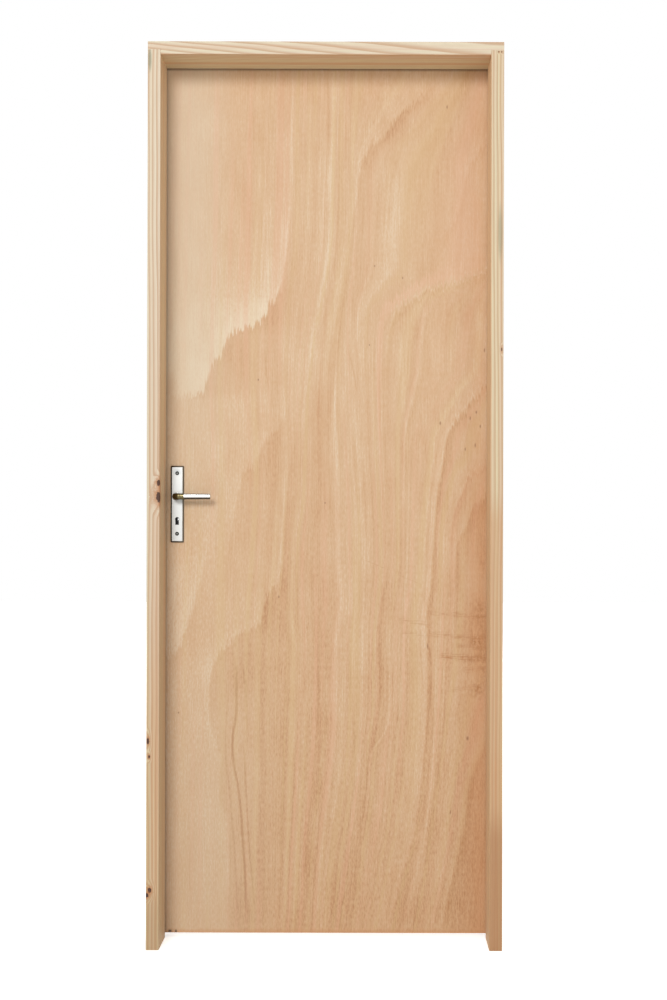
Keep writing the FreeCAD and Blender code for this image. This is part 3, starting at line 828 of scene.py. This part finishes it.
    def marked(self, colour):
        """The colour with smears, stains, specks and scuffs painted over it."""
        graph = self.graph
        amount, least = SMEAR_MOTTLE
        smears = add_up([self.smear(*smear) for smear in SMEARS])
        smears = smears * graph.step(self.noise(SMEAR_BREAKS), *SMEAR_GAPS)
        smears = smears * (self.noise(MOTTLE) * amount + least)
        stains = graph.smaller(add_up([self.spot(*stain) for stain in STAINS]), 1.0)
        stains = stains * graph.step(self.noise(BLOTCHES), *STAIN_GAPS)
        specks = add_up([self.spot(*speck, SPECK_LEVEL) for speck in SPECKS])
        scuffs = add_up([self.spot(column, SCUFF_ROW, wide, SCUFF_HEIGHT, 1.0) for column, wide in SCUFFS])
        for marks, (most, shade) in (
            (smears, SMEAR_PAINT),
            (stains, STAIN_PAINT),
            (specks, SPECK_PAINT),
            (scuffs, SCUFF_PAINT),
        ):
            colour = graph.mix(graph.smaller(marks, most), colour, shade)
        return colour


def plies(graph, face_colour, skin, mirrored):
    """The edge of a skin: three plies, of which the middle one is darker end grain."""
    low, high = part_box(skin)
    outer, inner = (high.y, low.y) if mirrored else (low.y, high.y)
    depth = (graph.y - outer) * (1.0 / (inner - outer))
    core = graph.hill(depth, CORE_DEPTH, CORE_REACH)
    share = core * CORE_STRENGTH + graph.grit(PLY_GRIT) * PLY_GRIT_STRENGTH
    on_edge = graph.step(graph.absolute(graph.normal_y), *PLY_FACING)
    return graph.mix(on_edge, face_colour, graph.mix(share, *PLY_TONES))


def veneer(name, skin, mirrored):
    """Rotary-cut veneer on a skin: peach wood with toothed growth-ring edges, streaks and pores, and on the
    front a few marks."""
    graph = Surface(name)
    leaf = Leaf(graph, mirrored)
    colour = leaf.colour()
    if not mirrored:
        colour = leaf.marked(colour)
    colour = plies(graph, colour, skin, mirrored)
    # Painted shade: the keyhole painted black through the skin
    colour = graph.mix(keyhole(graph), colour, SHADE_BLACK)
    fibre = leaf.noise(FIBRE)
    roughness = fibre * VENEER_FIBRE_ROUGHNESS + VENEER_ROUGHNESS
    return graph.finish(colour, roughness, leaf.noise(BROAD) * VENEER_BROAD_BUMP + fibre, VENEER_BUMP)


# Frame: pine boards

# Noise, in features a metre across a board, through its depth and along it, and how far it moves the rings
WANDER_ALONG = 1.3
WANDER_REACH = 0.020
RIPPLE_FINENESS = (30.0, 30.0, 2.2)
RIPPLE_REACH = 0.007
PINE_FIBRE = (900.0, 900.0, 14.0)
PINE_TINT = (120.0, 40.0, 0.8)
TINT_SHIFT = 3.0
PINE_STRIPE = (260.0, 60.0, 0.6)
STRIPE_SHIFT = 9.0
END_GRIT = 1200.0

# Where the dark late wood comes in and ends, in shares of a growth ring
LATE_START = (0.30, 0.90)
LATE_END = (1.0, 0.93)

# Knots, by how far away they are in units of their own reach: the bend in the rings, the halo, the dark core
KNOT_FINENESS = (420.0, 420.0, 260.0)
KNOT_UNEVENNESS = 0.9
KNOT_BEND = (4.5, 0.6, 0.011)
KNOT_WASHES = (
    (2.6, 0.9, 0.62, tone(178, 112, 60)),
    (1.10, 0.85, 0.96, tone(56, 24, 8)),
)

# Pine's colours
EARLY_TONE = tone(217, 203, 163)
EARLY_WASH = (0.35, 0.65, 1.0, tone(214, 190, 157))
STRIPE_WASHES = (
    (0.54, 0.66, 0.55, tone(206, 154, 110)),
    (0.44, 0.34, 0.45, tone(200, 186, 152)),
)
# Paler higher up on the boards' fronts: partly the wood's colour and partly painted light from above
PALE_FRONT_HEIGHT = (0.3, 1.1)
PALE_FRONT_TONE = tone(226, 219, 202)
# Painted light on the boards' sides: paler higher up, most on the hinge jamb's reveal, which faces the light
PAINTED_LIGHT_SIDE_HEIGHT = (0.9, 1.5)
PAINTED_LIGHT_SIDE_TONE = tone(238, 200, 158)
LATE_STRENGTH = 0.62
LATE_TONE = tone(182, 134, 96)
FIBRE_LEAST = 0.3
FIBRE_STRENGTH = 0.35
FIBRE_TONE = tone(186, 150, 112)
END_TONES = (tone(196, 164, 122), tone(146, 104, 66))
END_GRIT_STRENGTH = 0.4
END_GRIT_TONE = tone(128, 92, 58)
# Darker low down on the uprights: partly the wood's colour and partly painted shade of the light falling off
# downwards
LOW_WASH = (2.0, 0.0, 0.24, tone(176, 130, 88))
RUDDY_FADE = 0.05
RUDDY_STRIPE = (1.2, 0.4)
STAIN_EDGE = (1.0, 0.3)
GREY_STAIN_TONE = tone(118, 124, 98)

# Which way a face looks, by its normal
FACING_FRONT = (-0.5, -0.9)
FACING_SIDE = (0.5, 0.9)
FACING_END = (0.6, 0.9)

# Pine's gloss and bump
PINE_ROUGHNESS = 0.6
PINE_FIBRE_ROUGHNESS = 0.1
PINE_LATE_BUMP = 0.4
PINE_BUMP = 0.0002


class Board(NamedTuple):
    """A pine board: its grain's direction, its pith and ring spacing in metres, its knots and its tints."""

    along: str
    pith: tuple
    ring_gap: float
    knots: tuple = ()
    slant: float = 0.0
    pale_front: float = 0.0
    pale_side: tuple = ()
    ruddy: tuple = ()
    stain: tuple = ()
    soot: bool = False


# A knot and a stain have a centre and a reach, and the stain a strength. A ruddy part has the height that it
# reaches, a strength and a tone. The sides' painted light, which makes them paler, is given for low down and
# high up.
HINGE_JAMB = Board(
    "z",
    pith=(-0.065, -0.112),
    ring_gap=0.0068,
    knots=(
        ((-0.0042, -0.070, 1.408), (0.0014, 0.006, 0.0042)),
        ((-0.0200, 0.012, 0.820), (0.0040, 0.009, 0.0110)),
        ((-0.0129, -0.070, 2.1040), (0.0013, 0.005, 0.0016)),
        ((-0.0059, -0.070, 2.1040), (0.0013, 0.005, 0.0016)),
    ),
    pale_front=0.15,
    pale_side=(0.35, 0.50),
    ruddy=(
        (1.04, 0.42, tone(192, 140, 94)),
        (0.45, 0.20, tone(192, 140, 94)),
        (0.30, 0.60, tone(166, 118, 78)),
    ),
    stain=((-0.0080, -0.070, 1.680), (0.0075, 0.02, 0.090), 0.45),
)
LOCK_JAMB = Board(
    "z",
    pith=(-0.770, -0.105),
    ring_gap=0.0078,
    knots=(
        ((-0.8065, -0.070, 1.0935), (0.0040, 0.010, 0.0080)),
        ((-0.8060, -0.070, 1.0600), (0.0058, 0.012, 0.0125)),
        ((-0.8253, -0.070, 0.1403), (0.0042, 0.010, 0.0066)),
        ((-0.8322, -0.070, 0.1285), (0.0050, 0.010, 0.0054)),
        ((-0.8300, -0.070, 0.4900), (0.0030, 0.010, 0.0080)),
        ((-0.8270, -0.070, 0.4530), (0.0022, 0.010, 0.0040)),
    ),
    pale_front=0.50,
    pale_side=(0.0, 0.30),
    ruddy=((0.12, 0.30, tone(160, 128, 90)),),
    stain=((-0.8290, -0.070, 2.085), (0.006, 0.02, 0.040), 0.6),
)
HEAD = Board(
    "x",
    pith=(2.130, -0.16),
    ring_gap=0.0076,
    knots=(((-0.6200, 0.030, 2.127), (0.0120, 0.008, 0.006)),),
    slant=0.10,
    pale_front=0.45,
)
LEAF_EDGES = Board("z", pith=(-0.2, 0.0), ring_gap=0.005, soot=True)
LEAF_RAILS = Board("x", pith=(0.9, -0.1), ring_gap=0.006)


def board_axes(graph, board):
    """The coordinates across a board, through its depth and along its grain, and where its ends show."""
    upright = board.along == "z"
    axes = (graph.x, graph.y, graph.z) if upright else (graph.z, graph.y, graph.x)
    along_normal = graph.normal_z if upright else graph.normal_x
    return axes, graph.step(graph.absolute(along_normal), *FACING_END)


def board_noise(graph, axes, fineness, shift=0.0):
    """Noise drawn out along a board's grain; shift makes it unlike another."""
    side, deep, run = scaled(axes, fineness)
    return graph.noise((side, deep, run + shift))


def knot_distances(graph, board):
    """How far each knot is, in units of its own reach, with an uneven outline."""
    if not board.knots:
        return []
    uneven = swing(graph.noise(scaled(graph.place(), KNOT_FINENESS), 2.0), KNOT_UNEVENNESS)
    return [graph.distance(graph.place(), place, reach) + uneven for place, reach in board.knots]


def late_wood(graph, board, axes, knots):
    """1 in the dark end of each growth ring. The rings wander along the board and bend round its knots."""
    side, deep, run = axes
    wander = swing(graph.noise((1.0, 2.0, run * WANDER_ALONG)), WANDER_REACH)
    ripple = swing(graph.noise(scaled(axes, RIPPLE_FINENESS), 2.0), RIPPLE_REACH)
    out = graph.distance((side + wander + run * board.slant, deep), board.pith) + ripple
    for near in knots:
        out = out + graph.step(near, *KNOT_BEND)
    ring = graph.math("FRACT", out * (1.0 / board.ring_gap))
    return graph.step(ring, *LATE_START) * graph.step(ring, *LATE_END)


def early_wood(graph, board, axes, stripe, front):
    """The pale wood between the dark lines, paler higher up on the board's front: partly the board's own
    colour and partly painted light from above.
    """
    tint = board_noise(graph, axes, PINE_TINT, TINT_SHIFT)
    colour = graph.wash(EARLY_TONE, tint, *EARLY_WASH)
    for wash in STRIPE_WASHES:
        colour = graph.wash(colour, stripe, *wash)
    # Partly painted light: the front paler higher up
    if board.pale_front:
        pale = front * graph.step(graph.z, *PALE_FRONT_HEIGHT, board.pale_front)
        colour = graph.mix(pale, colour, PALE_FRONT_TONE)
    return colour


def end_wood(graph, late):
    """End grain: the rings and a dark grit."""
    return graph.mix(graph.grit(END_GRIT) * END_GRIT_STRENGTH, graph.mix(late, *END_TONES), END_GRIT_TONE)


def aged(graph, board, colour, stripe, front):
    """A board's colour, darker low down partly as painted shade, with its ruddy parts, its sides' painted
    light and its stain.
    """
    if board.along == "z":
        colour = graph.wash(colour, graph.z, *LOW_WASH)
    amount, least = RUDDY_STRIPE
    for level, strength, shade in board.ruddy:
        below = graph.step(graph.z, level + RUDDY_FADE, level - RUDDY_FADE, strength)
        colour = graph.mix(below * front * (stripe * amount + least), colour, shade)
    # Painted light: the boards' sides made paler higher up, where the light falls on them
    if board.pale_side:
        low_level, high_level = board.pale_side
        pale = graph.step(graph.z, *PAINTED_LIGHT_SIDE_HEIGHT, high_level - low_level, low_level)
        side = graph.step(graph.absolute(graph.normal_x), *FACING_SIDE)
        colour = graph.mix(side * pale, colour, PAINTED_LIGHT_SIDE_TONE)
    if board.stain:
        place, reach, strength = board.stain
        near = graph.distance(graph.place(), place, reach)
        colour = graph.wash(colour, near, *STAIN_EDGE, strength, GREY_STAIN_TONE)
    return colour


def pine(name, board):
    """A pine board, with its growth rings seen on every side."""
    graph = Surface(name)
    axes, ends = board_axes(graph, board)
    front = graph.step(graph.normal_y, *FACING_FRONT)
    fibre = board_noise(graph, axes, PINE_FIBRE)
    stripe = board_noise(graph, axes, PINE_STRIPE, STRIPE_SHIFT)
    knots = knot_distances(graph, board)
    late = late_wood(graph, board, axes, knots)
    colour = graph.mix(late * LATE_STRENGTH, early_wood(graph, board, axes, stripe, front), LATE_TONE)
    colour = graph.mix((fibre - FIBRE_LEAST) * FIBRE_STRENGTH, colour, FIBRE_TONE)
    colour = graph.mix(ends, colour, end_wood(graph, late))
    colour = aged(graph, board, colour, stripe, front)
    for near in knots:
        for wash in KNOT_WASHES:
            colour = graph.wash(colour, near, *wash)
    # Painted shade: the keyhole painted black through the leaf's edges and lock block
    if board.soot:
        colour = graph.mix(keyhole(graph), colour, SHADE_BLACK)
    roughness = fibre * PINE_FIBRE_ROUGHNESS + PINE_ROUGHNESS
    return graph.finish(colour, roughness, late * PINE_LATE_BUMP + fibre, PINE_BUMP)


# Metals

# Painted shade and reflection on the handle plates: shade round the screws' countersinks, a dark reflection
# along the rim's bevel, which is darker on the left, and shade about the keyhole
SCREW_SHADOW_REACH = 0.0045
SCREW_SHADOW_EDGE = (1.12, 0.92)
RIM_EDGE = (0.0040, 0.0030)
KEY_ROUND_Z = 1.0092
KEY_ROUND_REACH = 0.0050
KEY_SLOT_Z = 1.0020
KEY_SLOT_REACH = (0.0042, 0.0062)
KEY_EDGE = (1.08, 0.94)
RIM_LEFT_REACH = 0.012
RIM_REFLECTION_TONES = (tone(104, 98, 86), tone(58, 44, 28))

# The handle plates' face and its grey smudge above the upper screw
PLATE_TONE = tone(182, 183, 181)
PLATE_ROUGHNESS = 0.34
HOLE_ROUGHNESS = 0.6
SMUDGE_RISE = 0.003
SMUDGE_REACH = (0.013, 0.012, 1.0)
SMUDGE_LEVEL = 0.5
SMUDGE_STRENGTH = 1.6
SMUDGE_FINENESS = 260.0
SMUDGE_TONE = tone(112, 120, 126)

# The levers: painted shade under the grip and a painted dark reflection on the neck
NECK_EDGE = (-0.7557, -0.7573)
GRIP_TONE_AND_UNDERSIDE_SHADE = (tone(192, 189, 184), tone(60, 49, 38))
GRIP_SHADED_UNDERSIDE = (-0.10, -0.40)
NECK_REFLECTION_TONES = (tone(108, 98, 64), tone(74, 66, 48))
NECK_GRIT = 300.0
LEVER_ROUGHNESS = 0.22

# The clouds, brushing and bump of every metal
METAL_CLOUDS = 90.0
METAL_BRUSHING = (2500.0, 2500.0, 120.0)
CLOUD_ROUGHNESS = 0.10
CLOUD_TONE = tone(128, 124, 116)
METAL_BUMP = 0.00002

# The screws' painted shade, at the head's rim by distance from the axis and in the cross by depth
SCREW_RIM = (0.30 * SCREW_HEAD_RADIUS, 0.60 * SCREW_HEAD_RADIUS)
SCREW_CUT = (-0.0003, -0.0008)
SCREW_ROUGHNESS = 0.32


def finish_metal(graph, colour, roughness, smudge):
    """Closes a material as metal, clouded in its colour and gloss."""
    cloud = graph.grit(METAL_CLOUDS, 3.0)
    brushing = graph.noise(scaled(graph.place(), METAL_BRUSHING))
    shade = graph.mix(cloud * smudge, colour, CLOUD_TONE)
    return graph.finish(shade, cloud * CLOUD_ROUGHNESS + roughness, brushing, METAL_BUMP, Metallic=1.0)


def metal(name, colour, roughness, smudge):
    return finish_metal(Surface(name), colour, roughness, smudge)


def keyhole(graph):
    """1 at the keyhole and a little way round it, through the whole thickness of the leaf: the place that
    painted shade makes dark.
    """
    middle = (PLATE_MIDDLE.x, KEY_SLOT_Z)
    round_part = graph.distance((graph.x, graph.z), (PLATE_MIDDLE.x, KEY_ROUND_Z), [KEY_ROUND_REACH] * 2)
    sideways, upward = [graph.absolute(value - centre) * (1 / reach)
                        for value, centre, reach in zip((graph.x, graph.z), middle, KEY_SLOT_REACH)]
    return graph.step(graph.smaller(round_part, graph.larger(sideways, upward)), *KEY_EDGE)


def plate_metal(name):
    """The handle plates: bright satin faces, with a painted dark reflection round the rim, painted shade in
    and round the keyhole and round the screws, and a grey smudge at the upper screw."""
    graph = Surface(name)
    sideways = PLATE_HALF.x - graph.absolute(graph.x - PLATE_MIDDLE.x)
    upward = PLATE_HALF.z - graph.absolute(graph.z - PLATE_MIDDLE.z)
    # Painted reflection: the bevel along the rim darkened
    rim = graph.step(graph.smaller(sideways, upward), *RIM_EDGE)
    holes = keyhole(graph)
    # Painted shade round each screw's countersink
    for level in PLATE_SCREW_LEVELS:
        away = graph.distance((graph.x, graph.z), (PLATE_MIDDLE.x, level), [SCREW_SHADOW_REACH] * 2)
        holes = graph.larger(holes, graph.step(away, *SCREW_SHADOW_EDGE))
    smudge_place = (PLATE_MIDDLE.x, max(PLATE_SCREW_LEVELS) + SMUDGE_RISE, 0.0)
    smudge = graph.blob(graph.vector((graph.x, graph.z, 0.0)), smudge_place, SMUDGE_REACH, SMUDGE_LEVEL)
    cloud = graph.noise((graph.x * SMUDGE_FINENESS, 1.0, graph.z * SMUDGE_FINENESS), 3.0)
    left = graph.step(graph.x, PLATE_MIDDLE.x + RIM_LEFT_REACH, PLATE_MIDDLE.x - RIM_LEFT_REACH)
    colour = graph.mix(smudge * cloud * SMUDGE_STRENGTH, PLATE_TONE, SMUDGE_TONE)
    colour = graph.mix(rim, colour, graph.mix(left, *RIM_REFLECTION_TONES))
    # Painted shade: the keyhole and the screws' rings black
    colour = graph.mix(holes, colour, SHADE_BLACK)
    return finish_metal(graph, colour, holes * HOLE_ROUGHNESS + PLATE_ROUGHNESS, 0.05)


def lever_metal(name):
    """The levers: a bright grip with painted shade underneath, and a neck in a dull olive-brown painted dark
    reflection.
    """
    graph = Surface(name)
    # Painted shade on the grip's underside
    grip = graph.mix(graph.step(graph.normal_z, *GRIP_SHADED_UNDERSIDE), *GRIP_TONE_AND_UNDERSIDE_SHADE)
    # Painted dark reflection on the neck
    neck = graph.mix(graph.grit(NECK_GRIT), *NECK_REFLECTION_TONES)
    colour = graph.mix(graph.step(graph.x, *NECK_EDGE), grip, neck)
    return finish_metal(graph, colour, LEVER_ROUGHNESS, 0.06)


def screw_metal(name, colour, painted_shade):
    """A screw: its head's rim and the cross cut in it are darkened as painted shade."""
    graph = Surface(name)
    rim = graph.step(graph.distance((graph.x, graph.y), (0.0, 0.0)), *SCREW_RIM)
    cut = graph.step(graph.z, *SCREW_CUT)
    return finish_metal(graph, graph.mix(graph.larger(rim, cut), colour, painted_shade), SCREW_ROUGHNESS, 0.3)


# What each node is made of


def dress(nodes, material):
    """Puts one material in every slot of some CAD nodes."""
    for node in nodes:
        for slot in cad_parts[node].material_slots:
            slot.link = "DATA"
            slot.material = material


def dress_all():
    dress(["front_skin"], veneer("veneer_front", "front_skin", False))
    dress(["back_skin"], veneer("veneer_back", "back_skin", True))
    dress(["hinge_jamb"], pine("pine_hinge_jamb", HINGE_JAMB))
    dress(["lock_jamb"], pine("pine_lock_jamb", LOCK_JAMB))
    dress(["head"], pine("pine_head", HEAD))
    dress(["hinge_stile", "lock_stile", "lock_block"], pine("pine_leaf_edges", LEAF_EDGES))
    dress(["bottom_rail", "top_rail"], pine("pine_leaf_rails", LEAF_RAILS))
    dress(["front_handle_plate", "back_handle_plate"], plate_metal("satin_nickel_plate"))
    dress(["front_lever", "back_lever"], lever_metal("satin_nickel_lever"))
    steel = metal("lock_steel", tone(196, 196, 192), 0.34, 0.4)
    dress(["lock_faceplate", "latch_bolt", "dead_bolt", "lock_follower", "spindle", "strike_plate"], steel)
    # Painted shade: the lock case is near black, so that the keyhole looks dark through the leaf
    dress(["lock_case"], metal("lock_case_steel", tone(30, 28, 26), 0.9, 0.2))
    hinge_parts = [
        level + "_hinge_" + part
        for level in HINGE_LEVELS
        for part in ("frame_flap", "door_flap", "pin")
    ]
    dress(hinge_parts, metal("hinge_steel", tone(186, 184, 178), 0.32, 0.4))


# Screws


class Fixing(NamedTuple):
    """A kind of screw: its mesh and metal, and the body and slot that it belongs to; the slot is not used."""

    mesh: object
    metal: object
    body: str
    slot: str


def ring_of(mesh, radius, depth):
    """A ring of vertices about the screw's axis, depth below the surface."""
    turn = 2 * math.pi / SCREW_SIDES
    return [
        mesh.verts.new((radius * math.cos(n * turn), radius * math.sin(n * turn), -depth))
        for n in range(SCREW_SIDES)
    ]


def join_rings(mesh, first, second):
    count = len(first)
    for n in range(count):
        after = (n + 1) % count
        mesh.faces.new((first[n], second[n], second[after], first[after]))


def cross_of(mesh, arm, half, depth):
    """The twelve corners of a cross, depth below the surface."""
    corners = [
        (arm, -half), (arm, half), (half, half), (half, arm), (-half, arm), (-half, half),
        (-arm, half), (-arm, -half), (-half, -half), (-half, -arm), (half, -arm), (half, -half),
    ]
    return [mesh.verts.new((x, y, -depth)) for x, y in corners]


def screw_mesh(length):
    """A countersunk cross-recess screw, with its axis along Z and its head's top at the surface."""
    mesh = bmesh.new()
    rings = [ring_of(mesh, radius, depth) for radius, depth in (
        (SCREW_TOP_RADIUS, 0.0),
        (SCREW_HEAD_RADIUS, SCREW_RIM_DEPTH),
        (SCREW_SHANK_RADIUS, SCREW_HEAD_DEPTH),
        (SCREW_SHANK_RADIUS, length - SCREW_TIP),
        (SCREW_POINT_RADIUS, length),
    )]
    for first, second in zip(rings, rings[1:]):
        join_rings(mesh, first, second)
    mesh.faces.new(list(reversed(rings[-1])))
    mouth = cross_of(mesh, CROSS_ARM, CROSS_HALF_WIDTH, 0.0)
    foot = cross_of(mesh, CROSS_ARM * CROSS_TAPER, CROSS_HALF_WIDTH * CROSS_TAPER, CROSS_DEPTH)
    join_rings(mesh, foot, mouth)
    mesh.faces.new(foot)
    edges = [mesh.edges.get((loop[n - 1], loop[n])) or mesh.edges.new((loop[n - 1], loop[n]))
             for loop in (rings[0], mouth) for n in range(len(loop))]
    bmesh.ops.triangle_fill(mesh, use_beauty=True, edges=edges)
    bmesh.ops.recalc_face_normals(mesh, faces=mesh.faces)
    made = bpy.data.meshes.new("screw")
    mesh.to_mesh(made)
    mesh.free()
    for face in made.polygons:
        face.use_smooth = True
    made.set_sharp_from_angle(angle=math.radians(SCREW_SHARP_DEGREES))
    return made


def add_screw(name, fixing, place, outward, turn):
    """A screw with its head at place, facing outward, turned by turn degrees about its axis."""
    mesh = fixing.mesh.copy()
    mesh.name = name
    mesh.materials.append(fixing.metal)
    screw = bpy.data.objects.new(name, mesh)
    bpy.context.scene.collection.objects.link(screw)
    aim = Vector((0, 0, 1)).rotation_difference(Vector(outward)).to_matrix().to_4x4()
    spin = Matrix.Rotation(math.radians(turn), 4, "Z")
    screw.matrix_world = Matrix.Translation(place) @ aim @ spin
    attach(screw, fixing.body)


def add_plate_screws(side, fixing, face_y, outward):
    for n, level in enumerate(PLATE_SCREW_LEVELS):
        place = (PLATE_MIDDLE.x, face_y, level)
        add_screw(side + "_plate_screw_" + str(n), fixing, place, (0, outward, 0), SCREW_TURNS[n])


def add_flap_screws(level, part, fixing, face_x, outward):
    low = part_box(level + "_hinge_" + part)[0]
    for n, (rise, reach) in enumerate(FLAP_SCREWS):
        place = (face_x, low.y + reach, low.z + rise)
        add_screw(level + "_" + part + "_screw_" + str(n), fixing, place, (outward, 0, 0), SCREW_TURNS[n + 2])


def add_lock_screws(node, fixing, face_x, outward):
    low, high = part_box(node)
    for n, level in enumerate((low.z + LOCK_SCREW_INSET, high.z - LOCK_SCREW_INSET)):
        place = (face_x, LEAF_MIDDLE_Y, level)
        add_screw(node + "_screw_" + str(n), fixing, place, (outward, 0, 0), SCREW_TURNS[n])


def add_screws():
    long = screw_mesh(SCREW_LENGTH)
    short = screw_mesh(SHORT_SCREW_LENGTH)
    # Each screw metal's second colour is the painted shade in its rim and cross
    bright = screw_metal("screw_nickel", tone(196, 198, 196), tone(34, 36, 34))
    steel = screw_metal("screw_steel", tone(190, 188, 180), tone(110, 106, 98))
    in_plate = Fixing(long, bright, "leaf", "satin_nickel")
    add_plate_screws("front", in_plate, PLATE_LOW.y, -1)
    add_plate_screws("back", in_plate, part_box("back_handle_plate")[1].y, 1)
    for level in HINGE_LEVELS:
        in_jamb = Fixing(short, steel, "frame", "hinge_steel")
        in_stile = Fixing(long, steel, "leaf", "hinge_steel")
        add_flap_screws(level, "frame_flap", in_jamb, REBATE_FACE_X, -1)
        add_flap_screws(level, "door_flap", in_stile, LEAF_HIGH.x, 1)
    faceplate_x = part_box("lock_faceplate")[0].x
    strike_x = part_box("strike_plate")[1].x
    add_lock_screws("lock_faceplate", Fixing(long, steel, "leaf", "lock_steel"), faceplate_x, -1)
    add_lock_screws("strike_plate", Fixing(short, steel, "frame", "lock_steel"), strike_x, 1)


# Camera, light and floor


def add_camera():
    data = bpy.data.cameras.new("camera")
    data.lens = CAMERA_LENS_MM
    data.sensor_width = CAMERA_SENSOR_MM
    data.shift_x, data.shift_y = CAMERA_SHIFT
    camera = bpy.data.objects.new("camera", data)
    bpy.context.scene.collection.objects.link(camera)
    level = Matrix.Rotation(math.radians(90), 4, "X")
    lean = Matrix.Rotation(math.radians(CAMERA_LEAN_DEGREES), 4, "Z")
    camera.matrix_world = Matrix.Translation(CAMERA_PLACE) @ level @ lean
    bpy.context.scene.camera = camera


def add_lamp(name, place, size, power):
    data = bpy.data.lights.new(name, "AREA")
    data.shape = "DISK"
    data.size = size
    data.energy = power
    lamp = bpy.data.objects.new(name, data)
    bpy.context.scene.collection.objects.link(lamp)
    lamp.location = place
    aim = Vector(LAMP_TARGET) - Vector(place)
    lamp.rotation_euler = aim.to_track_quat("-Z", "Y").to_euler()


def add_world():
    """White behind the door and in its metal, and an even soft light all round."""
    world = bpy.data.worlds.new("studio")
    bpy.context.scene.world = world
    graph = Graph(world)
    pick = graph.node("MixShader")
    graph.feed(pick.inputs[0], graph.seen())
    for socket, level in zip(pick.inputs[1:], (AMBIENT_LEVEL, BACKDROP_LEVEL)):
        sky = graph.node("Background")
        sky.inputs["Color"].default_value = WHITE
        sky.inputs["Strength"].default_value = level
        graph.feed(socket, graph.output(sky))
    graph.close("World", pick)


def add_floor():
    """A plain white floor. A glow that grows with distance keeps it white up to the horizon, for the camera
    and in the door's metal, and lights nothing."""
    mesh = bpy.data.meshes.new("floor")
    corners = [(x * FLOOR_REACH, y * FLOOR_REACH, 0) for x, y in ((-1, -1), (1, -1), (1, 1), (-1, 1))]
    mesh.from_pydata(corners, [], [(0, 1, 2, 3)])
    floor = bpy.data.objects.new("floor", mesh)
    bpy.context.scene.collection.objects.link(floor)
    graph = Surface("floor_white")
    matt = graph.node("BsdfDiffuse")
    matt.inputs["Color"].default_value = (FLOOR_LEVEL, FLOOR_LEVEL, FLOOR_LEVEL, 1.0)
    glow = graph.node("Emission")
    away = graph.distance((graph.x, graph.y), FLOOR_MIDDLE)
    far = graph.step(away, *FLOOR_FAR, FLOOR_FAR_GLOW)
    graph.feed(glow.inputs["Strength"], (far + FLOOR_GLOW) * graph.seen())
    graph.close("Material", matt, glow)
    mesh.materials.append(graph.material)


bpy.context.scene.view_settings.view_transform = "Standard"
add_camera()
add_world()
for lamp in LAMPS:
    add_lamp(*lamp)
add_floor()
dress_all()
add_screws()
